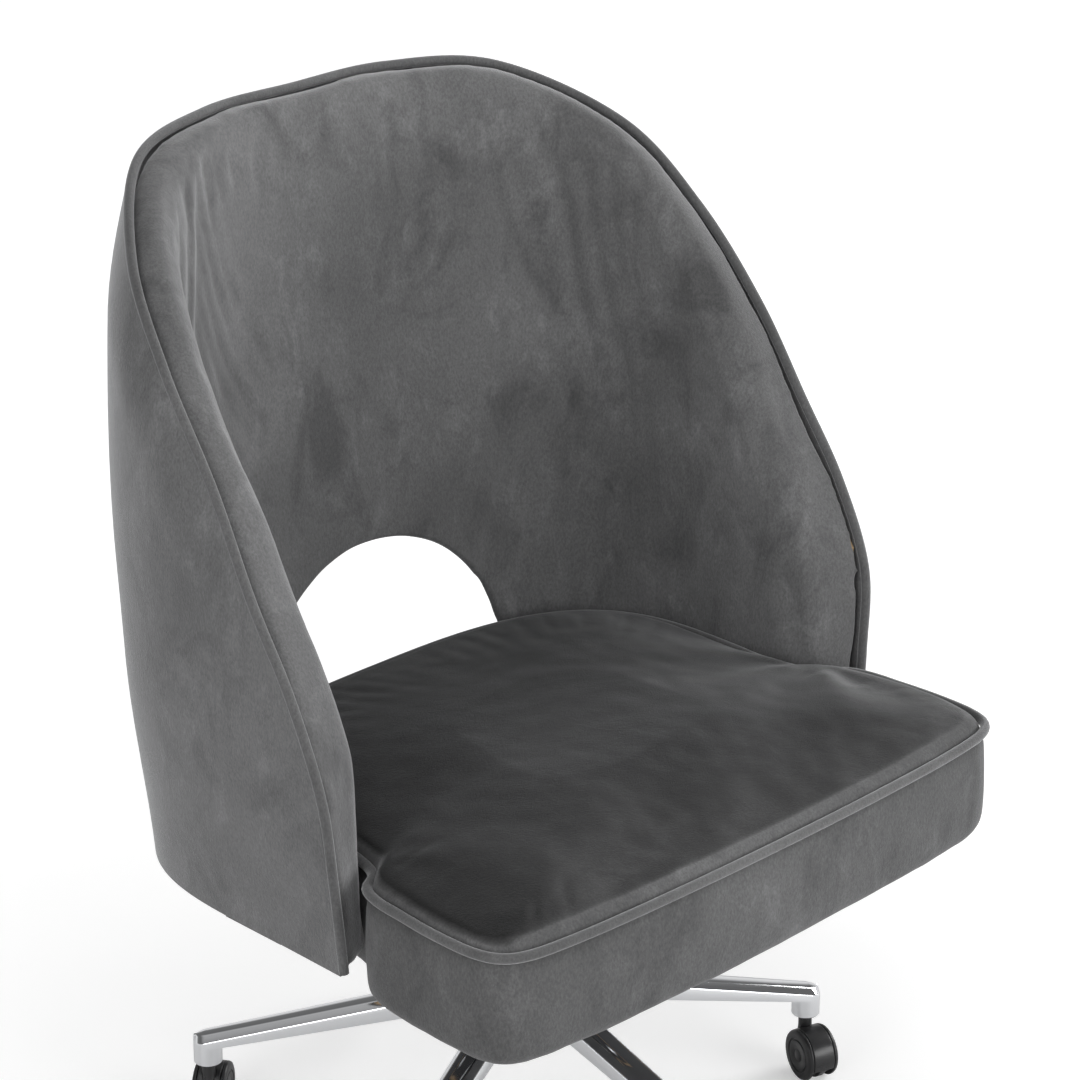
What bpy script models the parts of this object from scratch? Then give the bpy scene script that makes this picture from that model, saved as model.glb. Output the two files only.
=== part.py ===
"""Swivel office chair: star base on twin-wheel casters, gas lift, tilt mechanism, seat and wrap-around back.

Metres, +Z up. The sitter faces -Y, and the floor is z = 0. Everything hangs on one empty, chair_axis, which
stands on the column's centre line, a little behind the origin so that the origin is under the middle
of the chair.
"""
import math

import bmesh
import bpy
from mathutils import Matrix, Vector

# ---------------------------------------------------------------- driving dimensions
COLUMN_Y = 0.0093  # the column's centre line, measured from the middle of the chair
GAP = 0.0003  # between fixed pieces that touch

# star base
LEG_COUNT = 5
FIRST_LEG_DEG = -90.0  # one leg points straight forward
STEM_RADIUS_FROM_AXIS = 0.300
LEG_TOP_AT_STEM = 0.0925
LEG_TOP_SLOPE = 0.32
LEG_BOTTOM_AT_STEM = 0.078
LEG_BOTTOM_SLOPE = 0.28
LEG_HALF_WIDTH_TIP = 0.0135
LEG_HALF_WIDTH_HUB = 0.0162
LEG_CHAMFER = 0.003
BOSS_BOTTOM = 0.0612
HUB_RADIUS = 0.0325
HUB_BOTTOM = 0.134
HUB_TOP = 0.181

# casters
WHEEL_RADIUS = 0.025
WHEEL_STEPS = 20
AXLE_Z = WHEEL_RADIUS * math.cos(math.pi / WHEEL_STEPS)  # a flat of each wheel's tread lies on the floor
CASTER_TRAIL = 0.014
CASTER_HALF_WIDTH = 0.016
WEB_HALF_WIDTH = 0.0032
FENDER_HALF_WIDTH = 0.0110
FENDER_RADIUS = 0.0251
FENDER_INNER_RADIUS = 0.0225
NECK_RADIUS = 0.0065
NECK_TOP = 0.0606
STEM_RADIUS = 0.0055
SHANK_RADIUS = 0.0042
STEM_TOP = 0.0800
AXLE_RADIUS = 0.0030
RUNNING_GAP = 0.0001

# gas lift
TUBE_RADIUS = 0.0250
TUBE_WALL = 0.0020
TUBE_BOTTOM = 0.1240
TUBE_TOP = 0.2620
CYLINDER_RADIUS = 0.0140
CYLINDER_BORE = 0.0115
CYLINDER_BOTTOM = 0.1420
CYLINDER_TOP = 0.2985
ROD_RADIUS = 0.0050
PISTON_RADIUS = 0.0112
BUTTON_RADIUS = 0.0040
BUTTON_TOP = 0.3035

# tilt mechanism
PIVOT_Y = -0.033
PIVOT_Z = 0.2980
PIN_RADIUS = 0.0050
HOUSING_HALF_WIDTH = 0.0450
HOUSING_FRONT = -0.1080
HOUSING_REAR = 0.0600
HOUSING_BOTTOM = 0.2680
HOUSING_TOP = 0.2970
HOUSING_WALL = 0.0030
PLATE_BOTTOM = 0.3194
PLATE_THICKNESS = 0.0030
BOLT_Y = -0.0850
BOLT_RADIUS = 0.0040
KNOB_RADIUS = 0.0210
KNOB_BOTTOM = 0.2310
KNOB_TOP = 0.2460
SPRING_RADIUS = 0.0140
SPRING_WIRE = 0.0016
SPRING_TURNS = 5
LEVER_Z = 0.3060
LEVER_RADIUS = 0.0022
LEVER_PIVOT_X = -0.0400
LEVER_PIN_RADIUS = 0.0018
STRAP_THICKNESS = 0.0030
STRAP_RISE_FROM = 0.2705

# seat
BOARD_TOP = 0.3342
BOARD_BOTTOM = 0.3227
DUST_COVER_BOTTOM = 0.3212
SEAT_BOTTOM = 0.3345
SEAT_SEAM_Z = 0.4240
SEAT_CROWN = 0.4500
SEAT_PIPING_RADIUS = 0.0044
SEAT_MIDDLE_Y = -0.060
# half the seat's plan, from the middle of its bowed front edge to where it goes in between the wings
SEAT_FRONT_PLAN = (
    (0.0000, -0.3050),
    (0.1000, -0.3040),
    (0.2000, -0.3005),
    (0.2620, -0.2950),
    (0.2880, -0.2885),
    (0.3025, -0.2780),
    (0.3100, -0.2620),
    (0.3130, -0.2400),
    (0.3130, -0.2050),
    (0.3105, -0.1720),
    (0.3020, -0.1440),
    (0.2855, -0.1245),
    (0.2690, -0.1000),
)
SEAT_REAR_PLAN = (0.2645, 0.1925, 3.0)

# back shell
SHELL_BOTTOM = 0.352
COVER_THICKNESS = 0.0060
FRAME_THICKNESS = 0.0080
FRAME_DEPTH = 0.0072
PAD_DEPTH = 0.0176
PAD_RIM_DEPTH = 0.0130
PIPING_RADIUS = 0.0044
WELT_STANDS_IN = 0.0040  # from the cover's outer face to the middle of the welt
NOSE_ROLL = 0.036
NOSE_SHARE = 0.78  # how much of the wall's thickness the flat front of the nose takes
ARCH_HALF_WIDTH = 0.1863
ARCH_CENTRE_Z = 0.380
ARCH_HEIGHT = 0.1675
ARCH_POWER = 2.04
ARCH_PLANE_Y = 0.209  # where the opening has its stated size
ARCH_FLARE = 7.0  # its growth per metre further back
# the welt along the shell's front edge, from the top centre down to the bottom of the right wing
RIM_POINTS = (
    (0.000, 0.292, 0.953),
    (0.105, 0.284, 0.954),
    (0.209, 0.247, 0.942),
    (0.287, 0.163, 0.890),
    (0.315, 0.092, 0.820),
    (0.325, 0.025, 0.740),
    (0.331, -0.026, 0.659),
    (0.333, -0.072, 0.590),
    (0.333, -0.106, 0.513),
    (0.327, -0.112, 0.435),
    (0.320, -0.114, 0.354),
)
RIM_BEND = 8  # the point where the sloping edge turns down to the seat
COLUMNS = 40
ROWS = 10


# ---------------------------------------------------------------- scene helpers
def clear_scene():
    for item in list(bpy.data.objects):
        bpy.data.objects.remove(item, do_unlink=True)


def make_collection(name):
    collection = bpy.data.collections.new(name)
    bpy.context.scene.collection.children.link(collection)
    return collection


def make_material(name, colour, roughness, metallic=0.0):
    material = bpy.data.materials.new(name)
    material.use_nodes = True
    shader = material.node_tree.nodes["Principled BSDF"]
    shader.inputs["Base Color"].default_value = (*colour, 1.0)
    shader.inputs["Roughness"].default_value = roughness
    shader.inputs["Metallic"].default_value = metallic
    return material


def make_empty(name, location, parent=None):
    empty = bpy.data.objects.new(name, None)
    PARTS.objects.link(empty)
    empty.location = location
    empty.parent = parent
    return empty


def add_object(name, data, material, parent, matrix=None):
    """One sub-part, with its mesh given in the frame of its parent empty unless a matrix places it."""
    item = bpy.data.objects.new(name, data)
    PARTS.objects.link(item)
    item.parent = parent
    if matrix is not None:
        item.matrix_local = matrix
    if not data.materials:
        data.materials.append(material)
    return item


def add_cutter(name, data, parent):
    item = bpy.data.objects.new(name, data)
    CUTTERS.objects.link(item)
    item.parent = parent
    item.hide_render = True
    item.display_type = "WIRE"
    return item


def boolean(target, tool, operation):
    modifier = target.modifiers.new(operation.lower(), "BOOLEAN")
    modifier.operation = operation
    modifier.object = tool
    modifier.solver = "EXACT"


def finish_mesh(name, bm, smooth_deg=35.0):
    bmesh.ops.recalc_face_normals(bm, faces=bm.faces[:])
    mesh = bpy.data.meshes.new(name)
    bm.to_mesh(mesh)
    bm.free()
    mesh.shade_smooth()
    mesh.set_sharp_from_angle(angle=math.radians(smooth_deg))
    return mesh


def evaluated_mesh(item, name):
    """The mesh an object has after its modifiers, for pieces that several objects share."""
    bpy.context.view_layer.update()
    graph = bpy.context.evaluated_depsgraph_get()
    return bpy.data.meshes.new_from_object(item.evaluated_get(graph), depsgraph=graph)


# ---------------------------------------------------------------- shape helpers
def box_mesh(name, low, high, bevel=0.0):
    bm = bmesh.new()
    bmesh.ops.create_cube(bm, size=1.0)
    low, high = Vector(low), Vector(high)
    for vert in bm.verts:
        vert.co = Vector(low[i] + (vert.co[i] + 0.5) * (high[i] - low[i]) for i in range(3))
    if bevel:
        bmesh.ops.bevel(bm, geom=bm.edges[:], offset=bevel, segments=2, affect="EDGES", profile=0.5)
    return finish_mesh(name, bm)


def cylinder_mesh(name, radius, low, high, steps=24, axis="Z", top_radius=None):
    bm = bmesh.new()
    turn = {"Z": Matrix(), "X": Matrix.Rotation(math.pi / 2, 4, "Y"), "Y": Matrix.Rotation(-math.pi / 2, 4, "X")}
    shift = Matrix.Translation((0, 0, (low + high) / 2))
    bmesh.ops.create_cone(
        bm,
        cap_ends=True,
        segments=steps,
        radius1=radius,
        radius2=radius if top_radius is None else top_radius,
        depth=high - low,
        matrix=turn[axis] @ shift,
    )
    return finish_mesh(name, bm)


def profile_mesh(name, points, closed):
    """A profile in the XZ plane for the Screw modifier, from the top down its outer side."""
    mesh = bpy.data.meshes.new(name)
    edges = [(i, i + 1) for i in range(len(points) - 1)]
    if closed:
        edges.append((len(points) - 1, 0))
    mesh.from_pydata([(r, 0.0, z) for r, z in points], edges, [])
    return mesh


def turned(name, points, material, parent, steps=24, closed=False, matrix=None):
    item = add_object(name, profile_mesh(name, points, closed), material, parent, matrix)
    screw = item.modifiers.new("turn", "SCREW")
    screw.steps = steps
    screw.render_steps = steps
    screw.use_merge_vertices = True
    screw.merge_threshold = 0.00001
    screw.use_smooth_shade = True
    return item


def ring(name, inner, outer, low, high, material, parent, steps=24):
    points = [(inner, high), (outer, high), (outer, low), (inner, low)]
    return turned(name, points, material, parent, steps, closed=True)


def prism_mesh(name, outline, low, high, plane="XY"):
    """A flat outline given as (a, b) points, extruded between two levels across its plane."""
    bm = bmesh.new()
    place = {
        "XY": lambda a, b, c: (a, b, c),
        "XZ": lambda a, b, c: (a, c, b),
        "YZ": lambda a, b, c: (c, a, b),
    }[plane]
    verts = [bm.verts.new(place(a, b, low)) for a, b in outline]
    edges = [bm.edges.new((verts[i - 1], verts[i])) for i in range(len(verts))]
    bmesh.ops.triangle_fill(bm, use_beauty=True, use_dissolve=True, edges=edges)
    grown = bmesh.ops.extrude_face_region(bm, geom=bm.faces[:])["geom"]
    shift = Vector(place(0.0, 0.0, high - low))
    bmesh.ops.translate(bm, vec=shift, verts=[g for g in grown if isinstance(g, bmesh.types.BMVert)])
    return finish_mesh(name, bm)


def tube_object(name, points, radius, material, parent, cyclic=False, resolution=2):
    """A round tube along points, made a mesh with welded caps."""
    curve = bpy.data.curves.new(name, "CURVE")
    curve.dimensions = "3D"
    curve.bevel_depth = radius
    curve.bevel_resolution = resolution
    curve.use_fill_caps = not cyclic
    spline = curve.splines.new("POLY")
    spline.points.add(len(points) - 1)
    for point, co in zip(spline.points, points):
        point.co = (*co, 1.0)
    spline.use_cyclic_u = cyclic
    source = bpy.data.objects.new(name + "_path", curve)
    PARTS.objects.link(source)
    mesh = evaluated_mesh(source, name)
    bpy.data.objects.remove(source, do_unlink=True)
    bm = bmesh.new()
    bm.from_mesh(mesh)
    bmesh.ops.remove_doubles(bm, verts=bm.verts[:], dist=0.00001)
    bpy.data.meshes.remove(mesh)
    return add_object(name, finish_mesh(name, bm, 60.0), material, parent)


def catmull_rom(points, t):
    """The smooth curve through points, at t counted in points."""
    i = min(int(t), len(points) - 2)
    f = t - i
    p1, p2 = Vector(points[i]), Vector(points[i + 1])
    p0 = Vector(points[i - 1]) if i > 0 else Vector((-p2.x, p2.y, p2.z))
    p3 = Vector(points[i + 2]) if i + 2 < len(points) else 2 * p2 - p1
    return 0.5 * (2 * p1 + (p2 - p0) * f + (2 * p0 - 5 * p1 + 4 * p2 - p3) * f**2 + (3 * p1 - p0 - 3 * p2 + p3) * f**3)


def smooth_step(low, high, value):
    t = min(max((value - low) / (high - low), 0.0), 1.0)
    return t * t * (3.0 - 2.0 * t)


def blend(a, b, t):
    return a + (b - a) * t


# ---------------------------------------------------------------- star base
def leg_mesh():
    """One leg along +X: a shallow roof with a ridge, bevelled shoulders and a round nose over the stem."""
    bm = bmesh.new()
    stations = [(0.008, LEG_HALF_WIDTH_HUB, LEG_HALF_WIDTH_HUB)]
    stations.append((STEM_RADIUS_FROM_AXIS, LEG_HALF_WIDTH_TIP, LEG_HALF_WIDTH_TIP))
    for step in range(1, 6):
        angle = math.radians(16.0 * step)
        reach = STEM_RADIUS_FROM_AXIS + LEG_HALF_WIDTH_TIP * math.sin(angle)
        stations.append((reach, LEG_HALF_WIDTH_TIP * math.cos(angle), LEG_HALF_WIDTH_TIP))
    loops = []
    for reach, width, full in stations:
        out = STEM_RADIUS_FROM_AXIS - min(reach, STEM_RADIUS_FROM_AXIS)
        top = LEG_TOP_AT_STEM + LEG_TOP_SLOPE * out - 0.25 * max(0.0, reach - STEM_RADIUS_FROM_AXIS)
        bottom = LEG_BOTTOM_AT_STEM + LEG_BOTTOM_SLOPE * out
        flat = width * (full - LEG_CHAMFER) / full
        section = [(-width, bottom), (-width, top - 0.0032), (-flat, top - 0.0012), (0.0, top)]
        section += [(flat, top - 0.0012), (width, top - 0.0032), (width, bottom)]
        loops.append([bm.verts.new((reach, y, z)) for y, z in section])
    for near, far in zip(loops, loops[1:]):
        for i in range(len(near)):
            j = (i + 1) % len(near)
            bm.faces.new((near[i], near[j], far[j], far[i]))
    bm.faces.new(loops[0])
    bm.faces.new(loops[-1])
    return finish_mesh("leg", bm, 20.0)


def build_star_base(parent):
    hub = cylinder_mesh("star_base", HUB_RADIUS, HUB_BOTTOM, HUB_TOP, 32, top_radius=HUB_RADIUS - 0.002)
    base = add_object("star_base", hub, CHROME, parent)
    leg = leg_mesh()
    boss = cylinder_mesh("boss", LEG_HALF_WIDTH_TIP, BOSS_BOTTOM, LEG_BOTTOM_AT_STEM + 0.004, 24)
    bore = cylinder_mesh("stem_bore", STEM_RADIUS + RUNNING_GAP * 2, BOSS_BOTTOM - 0.01, STEM_TOP + 0.0005, 16)
    for index in range(LEG_COUNT):
        turn = math.radians(FIRST_LEG_DEG + 360.0 / LEG_COUNT * index)
        for name, mesh, reach, operation in (
            ("leg_tool", leg, 0.0, "UNION"),
            ("boss_tool", boss, STEM_RADIUS_FROM_AXIS, "UNION"),
            ("stem_bore_tool", bore, STEM_RADIUS_FROM_AXIS, "DIFFERENCE"),
        ):
            tool = add_cutter(f"{name}_{index + 1}", mesh, parent)
            tool.rotation_euler.z = turn
            tool.location = (reach * math.cos(turn), reach * math.sin(turn), 0.0)
            boolean(base, tool, operation)
    hub_bore = add_cutter("hub_bore", cylinder_mesh("hub_bore", TUBE_RADIUS + GAP, 0.0, 0.4, 32), parent)
    boolean(base, hub_bore, "DIFFERENCE")
    return base


# ---------------------------------------------------------------- casters
def fender_outline():
    """The hood's curved fender in the plane across the axle: a band over the top half of the wheels."""
    first, last, steps = math.radians(-28.0), math.radians(200.0), 14
    outer, inner = [], []
    for i in range(steps + 1):
        angle = blend(first, last, i / steps)
        direction = (math.cos(angle), math.sin(angle))
        outer.append((FENDER_RADIUS * direction[0] - CASTER_TRAIL, FENDER_RADIUS * direction[1] + AXLE_Z))
        inner.append((FENDER_INNER_RADIUS * direction[0] - CASTER_TRAIL, FENDER_INNER_RADIUS * direction[1] + AXLE_Z))
    return outer + inner[::-1]


def hood_mesh(parent):
    """Web between the wheels, fender over them and the neck of the stem, joined into one moulding."""
    fender = prism_mesh("hood", fender_outline(), -FENDER_HALF_WIDTH, FENDER_HALF_WIDTH, "YZ")
    body = add_cutter("hood_body", fender, parent)
    web = cylinder_mesh("web", FENDER_RADIUS - 0.0012, -WEB_HALF_WIDTH, WEB_HALF_WIDTH, 20, "X")
    web.transform(Matrix.Translation((0.0, -CASTER_TRAIL, AXLE_Z)))
    neck = cylinder_mesh("neck", NECK_RADIUS, 0.0365, NECK_TOP, 16)
    wheel_room = cylinder_mesh("wheel_room", FENDER_INNER_RADIUS - 0.0002, -0.02, 0.02, 28, "X")
    wheel_room.transform(Matrix.Translation((0.0, -CASTER_TRAIL, AXLE_Z)))
    well = cylinder_mesh("stem_well", SHANK_RADIUS + RUNNING_GAP * 2, 0.0460, 0.08, 12)
    hole = cylinder_mesh("axle_hole", AXLE_RADIUS + RUNNING_GAP * 2, -0.02, 0.02, 12, "X")
    hole.transform(Matrix.Translation((0.0, -CASTER_TRAIL, AXLE_Z)))
    for name, mesh, operation in (
        ("hood_neck", neck, "UNION"),
        ("hood_wheel_room", wheel_room, "DIFFERENCE"),
        ("hood_web", web, "UNION"),
        ("hood_well", well, "DIFFERENCE"),
        ("hood_axle_hole", hole, "DIFFERENCE"),
    ):
        boolean(body, add_cutter(name, mesh, parent), operation)
    mesh = evaluated_mesh(body, "caster_hood")
    mesh.shade_smooth()
    mesh.set_sharp_from_angle(angle=math.radians(35.0))
    return mesh


def wheel_profile():
    """From the centre of the outer face out over the tread and back up the blind axle bore."""
    outer, hub = WHEEL_RADIUS, WHEEL_RADIUS - 0.0035
    bore = AXLE_RADIUS + RUNNING_GAP
    inner_face = WEB_HALF_WIDTH + 0.0008
    tread = FENDER_HALF_WIDTH + 0.0006
    return [
        (0.0, CASTER_HALF_WIDTH),
        (outer - 0.0040, CASTER_HALF_WIDTH),
        (outer - 0.0008, CASTER_HALF_WIDTH - 0.0010),
        (outer, CASTER_HALF_WIDTH - 0.0024),
        (outer, tread),
        (hub, tread),
        (hub, inner_face),
        (bore, inner_face),
        (bore, 0.0128),
        (0.0, 0.0128),
    ]


def wheel_matrix(side):
    """A wheel's turned axis along the axle, half a step round so that a flat of the tread is lowest."""
    turn = Matrix(((0, 0, side), (side, 0, 0), (0, 1, 0))).to_4x4()
    return turn @ Matrix.Rotation(math.pi / WHEEL_STEPS, 4, "Z")


def build_casters(parent):
    hood = hood_mesh(parent)
    axle = cylinder_mesh("caster_axle", AXLE_RADIUS, -0.0124, 0.0124, 12, "X")
    for index in range(LEG_COUNT):
        number = index + 1
        turn = math.radians(FIRST_LEG_DEG + 360.0 / LEG_COUNT * index)
        place = (STEM_RADIUS_FROM_AXIS * math.cos(turn), STEM_RADIUS_FROM_AXIS * math.sin(turn), 0.0)
        swivel = make_empty(f"caster_{number}_swivel_axis", place, parent)
        swivel.rotation_euler.z = turn
        wheels = make_empty(f"caster_{number}_wheel_axis", (0.0, -CASTER_TRAIL, AXLE_Z), swivel)
        add_object(f"caster_{number}_hood", hood, CASTER_PLASTIC, swivel)
        stem = [(0.0, STEM_TOP), (0.0048, STEM_TOP), (STEM_RADIUS, STEM_TOP - 0.001), (STEM_RADIUS, BOSS_BOTTOM)]
        stem += [(SHANK_RADIUS, BOSS_BOTTOM), (SHANK_RADIUS, 0.0465), (0.0, 0.0465)]
        turned(f"caster_{number}_stem", stem, STEEL, swivel, 14)
        add_object(f"caster_{number}_axle", axle, STEEL, wheels)
        for side, word in ((1, "outer"), (-1, "inner")):
            name = f"caster_{number}_{word}_wheel"
            turned(name, wheel_profile(), WHEEL_PLASTIC, wheels, WHEEL_STEPS, matrix=wheel_matrix(side))


# ---------------------------------------------------------------- gas lift
def build_column(base, swivel, lift):
    inner = TUBE_RADIUS - TUBE_WALL
    tube = [
        (inner, TUBE_TOP),
        (TUBE_RADIUS - 0.001, TUBE_TOP),
        (TUBE_RADIUS, TUBE_TOP - 0.001),
        (TUBE_RADIUS, TUBE_BOTTOM),
        (ROD_RADIUS + 0.0004, TUBE_BOTTOM),
        (ROD_RADIUS + 0.0004, TUBE_BOTTOM + 0.003),
        (inner, TUBE_BOTTOM + 0.003),
    ]
    turned("column_outer_tube", tube, BLACK_STEEL, base, 32, closed=True)
    bush = [
        (CYLINDER_RADIUS + RUNNING_GAP, TUBE_TOP + 0.002),
        (TUBE_RADIUS - 0.0005, TUBE_TOP + 0.002),
        (TUBE_RADIUS - 0.0005, TUBE_TOP + GAP),
        (inner - GAP, TUBE_TOP + GAP),
        (inner - GAP, TUBE_TOP - 0.060),
        (CYLINDER_RADIUS + RUNNING_GAP, TUBE_TOP - 0.060),
    ]
    turned("column_guide_bush", bush, BLACK_PLASTIC, base, 32, closed=True)
    floor = TUBE_BOTTOM + 0.003
    ring("lower_bearing_washer", ROD_RADIUS + 0.0004, 0.0125, floor + GAP, floor + 0.0013, STEEL, base, 20)
    ring("thrust_bearing", ROD_RADIUS + GAP, 0.0120, floor + 0.0016, floor + 0.0040, BRASS, swivel, 20)
    ring("upper_bearing_washer", ROD_RADIUS + GAP, 0.0125, floor + 0.0043, floor + 0.0056, STEEL, swivel, 20)
    ring("retaining_clip", ROD_RADIUS - 0.0007, 0.0090, TUBE_BOTTOM - 0.0018, TUBE_BOTTOM - 0.0006, STEEL, swivel, 16)
    rod = [
        (0.0, CYLINDER_TOP - 0.026),
        (PISTON_RADIUS, CYLINDER_TOP - 0.026),
        (PISTON_RADIUS, CYLINDER_TOP - 0.034),
        (ROD_RADIUS, CYLINDER_TOP - 0.034),
        (ROD_RADIUS, TUBE_BOTTOM - 0.0003),
        (ROD_RADIUS - 0.0010, TUBE_BOTTOM - 0.0003),
        (ROD_RADIUS - 0.0010, TUBE_BOTTOM - 0.0021),
        (ROD_RADIUS, TUBE_BOTTOM - 0.0021),
        (ROD_RADIUS, TUBE_BOTTOM - 0.0050),
        (0.0, TUBE_BOTTOM - 0.0050),
    ]
    turned("piston_rod", rod, CHROME, swivel, 16)
    button_bore = BUTTON_RADIUS + RUNNING_GAP
    cylinder = [
        (button_bore, CYLINDER_TOP),
        (CYLINDER_RADIUS - 0.001, CYLINDER_TOP),
        (CYLINDER_RADIUS, CYLINDER_TOP - 0.012),
        (CYLINDER_RADIUS, CYLINDER_BOTTOM),
        (ROD_RADIUS + 0.0003, CYLINDER_BOTTOM),
        (ROD_RADIUS + 0.0003, CYLINDER_BOTTOM + 0.006),
        (CYLINDER_BORE, CYLINDER_BOTTOM + 0.006),
        (CYLINDER_BORE, CYLINDER_TOP - 0.020),
        (button_bore, CYLINDER_TOP - 0.020),
    ]
    turned("gas_cylinder", cylinder, CHROME, lift, 24, closed=True)


def build_release_button(parent):
    button = [(0.0, BUTTON_TOP), (BUTTON_RADIUS - 0.0006, BUTTON_TOP), (BUTTON_RADIUS, BUTTON_TOP - 0.0008)]
    button += [(BUTTON_RADIUS, CYLINDER_TOP - 0.016), (0.0, CYLINDER_TOP - 0.016)]
    turned("release_button", button, STEEL, parent, 16)


# ---------------------------------------------------------------- tilt mechanism
def build_housing(lift):
    """Pressed tray open at the top: taper socket on its floor, cheeks for the pivot pin, lugs for the lever."""
    low = (-HOUSING_HALF_WIDTH, HOUSING_FRONT, HOUSING_BOTTOM)
    high = (HOUSING_HALF_WIDTH, HOUSING_REAR, HOUSING_TOP)
    wall = HOUSING_WALL
    tray = box_mesh("housing", low, high, 0.004)
    housing = add_object("mechanism_housing", tray, BLACK_STEEL, lift)
    inner_low = [value + wall for value in low]
    inner_high = (high[0] - wall, high[1] - wall, high[2] + 0.02)
    inside = box_mesh("housing_inside", inner_low, inner_high)
    socket = cylinder_mesh("socket", 0.0200, HOUSING_BOTTOM + 0.001, HOUSING_TOP - 0.001, 24)
    bore = cylinder_mesh("socket_bore", CYLINDER_RADIUS + GAP, 0.2, 0.35, 24)
    slot = box_mesh("bolt_slot", (-0.0052, BOLT_Y - 0.0150, 0.25), (0.0052, BOLT_Y + 0.0060, 0.29))
    steps = [("inside", inside, "DIFFERENCE"), ("socket", socket, "UNION")]
    for side in (-1, 1):
        near, far = sorted((side * (HOUSING_HALF_WIDTH - wall), side * HOUSING_HALF_WIDTH))
        cheek = box_mesh("cheek", (near, PIVOT_Y - 0.012, 0.280), (far, PIVOT_Y + 0.012, PIVOT_Z + 0.009))
        steps.append((f"cheek_{side + 2}", cheek, "UNION"))
        near, far = sorted((side * 0.0048, side * 0.0078))
        lug = box_mesh("lug", (-HOUSING_HALF_WIDTH, near, 0.285), (LEVER_PIVOT_X + 0.005, far, LEVER_Z + 0.0035))
        steps.append((f"lug_{side + 2}", lug, "UNION"))
    pin_hole = cylinder_mesh("pin_hole", PIN_RADIUS + RUNNING_GAP, -0.1, 0.1, 20, "X")
    pin_hole.transform(Matrix.Translation((0.0, PIVOT_Y, PIVOT_Z)))
    lever_hole = cylinder_mesh("lever_pin_hole", LEVER_PIN_RADIUS + RUNNING_GAP, -0.02, 0.02, 12, "Y")
    lever_hole.transform(Matrix.Translation((LEVER_PIVOT_X, 0.0, LEVER_Z)))
    for name, mesh in (("bore", bore), ("slot", slot), ("pin_hole", pin_hole), ("lever_hole", lever_hole)):
        steps.append((name, mesh, "DIFFERENCE"))
    for name, mesh, operation in steps:
        boolean(housing, add_cutter(f"housing_{name}", mesh, lift), operation)
    return housing


def build_tilt_mechanism(lift, tilt):
    build_housing(lift)
    pin = cylinder_mesh("tilt_pivot_pin", PIN_RADIUS, -0.0600, 0.0600, 20, "X")
    add_object("tilt_pivot_pin", pin, STEEL, tilt)
    spring_points = []
    steps = 10 * SPRING_TURNS
    low, high = KNOB_TOP + SPRING_WIRE + 0.0006, HOUSING_BOTTOM - SPRING_WIRE - 0.0006
    for i in range(steps + 1):
        angle = 2.0 * math.pi * SPRING_TURNS * i / steps
        x, y = SPRING_RADIUS * math.cos(angle), SPRING_RADIUS * math.sin(angle)
        spring_points.append((x, BOLT_Y + y, blend(low, high, i / steps)))
    tube_object("tension_spring", spring_points, SPRING_WIRE, SPRING_STEEL, lift, resolution=1)


def build_top_plate(tilt):
    """Plate under the seat board with two ears that hang on the pivot pin."""
    y, z = -PIVOT_Y, -PIVOT_Z
    low = (-0.0950, -0.1050 + y, PLATE_BOTTOM + z)
    high = (0.0950, 0.0850 + y, PLATE_BOTTOM + PLATE_THICKNESS + z)
    plate = add_object("mechanism_top_plate", box_mesh("top_plate", low, high), BLACK_STEEL, tilt)
    for side in (-1, 1):
        near, far = sorted((side * 0.0480, side * 0.0510))
        ear = box_mesh("ear", (near, -0.0220, -0.0100), (far, 0.0170, PLATE_BOTTOM + z + 0.001))
        boolean(plate, add_cutter(f"plate_ear_{side + 2}", ear, tilt), "UNION")
    hole = cylinder_mesh("pin_hole", PIN_RADIUS + GAP, -0.1, 0.1, 20, "X")
    boolean(plate, add_cutter("plate_pin_hole", hole, tilt), "DIFFERENCE")
    bolt_hole = cylinder_mesh("bolt_hole", BOLT_RADIUS + GAP, 0.0, 0.1, 16)
    bolt_hole.transform(Matrix.Translation((0.0, BOLT_Y + y, 0.0)))
    boolean(plate, add_cutter("plate_bolt_hole", bolt_hole, tilt), "DIFFERENCE")
    return plate


# ---------------------------------------------------------------- back shell surface
def outer_size(z):
    """Half width, depth and squareness of the shell's plan at a height: it leans back and rounds as it rises."""
    tuck = 1.0 - smooth_step(0.30, 0.54, z)
    depth = blend(0.250, 0.304, smooth_step(0.36, 1.04, z))
    return 0.3385 - 0.018 * tuck, depth - 0.008 * tuck, blend(3.15, 2.43, smooth_step(0.62, 0.97, z))


def inner_size(z):
    """The same for the pad's inner face."""
    rise = smooth_step(0.42, 0.94, z)
    return blend(0.2720, 0.2850, rise), blend(0.2000, 0.2600, rise), blend(3.0, 2.5, rise)


def plan_point(q, size):
    """A point of the plan: q runs from 0 at the middle of the back to 1 at the side, then forward."""
    half_width, depth, power = size
    if abs(q) > 1.0:
        return Vector((math.copysign(half_width, q), -(abs(q) - 1.0) * half_width * math.pi / 2, 0.0))
    angle = q * math.pi / 2
    s, c = math.sin(angle), math.cos(angle)
    reach = (abs(s / half_width) ** power + abs(c / depth) ** power) ** (-1.0 / power)
    return Vector((reach * s, reach * c, 0.0))


def plan_normal(q, size):
    step = plan_point(q + 0.01, size) - plan_point(q - 0.01, size)
    return Vector((-step.y, step.x, 0.0)).normalized()


def plan_q(point):
    """The plan parameter of a point on the right half of the shell."""
    half_width = outer_size(point.z)[0]
    if point.y < 0.0:
        return 1.0 - point.y / (half_width * math.pi / 2)
    return math.atan2(point.x, point.y) / (math.pi / 2)


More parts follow.
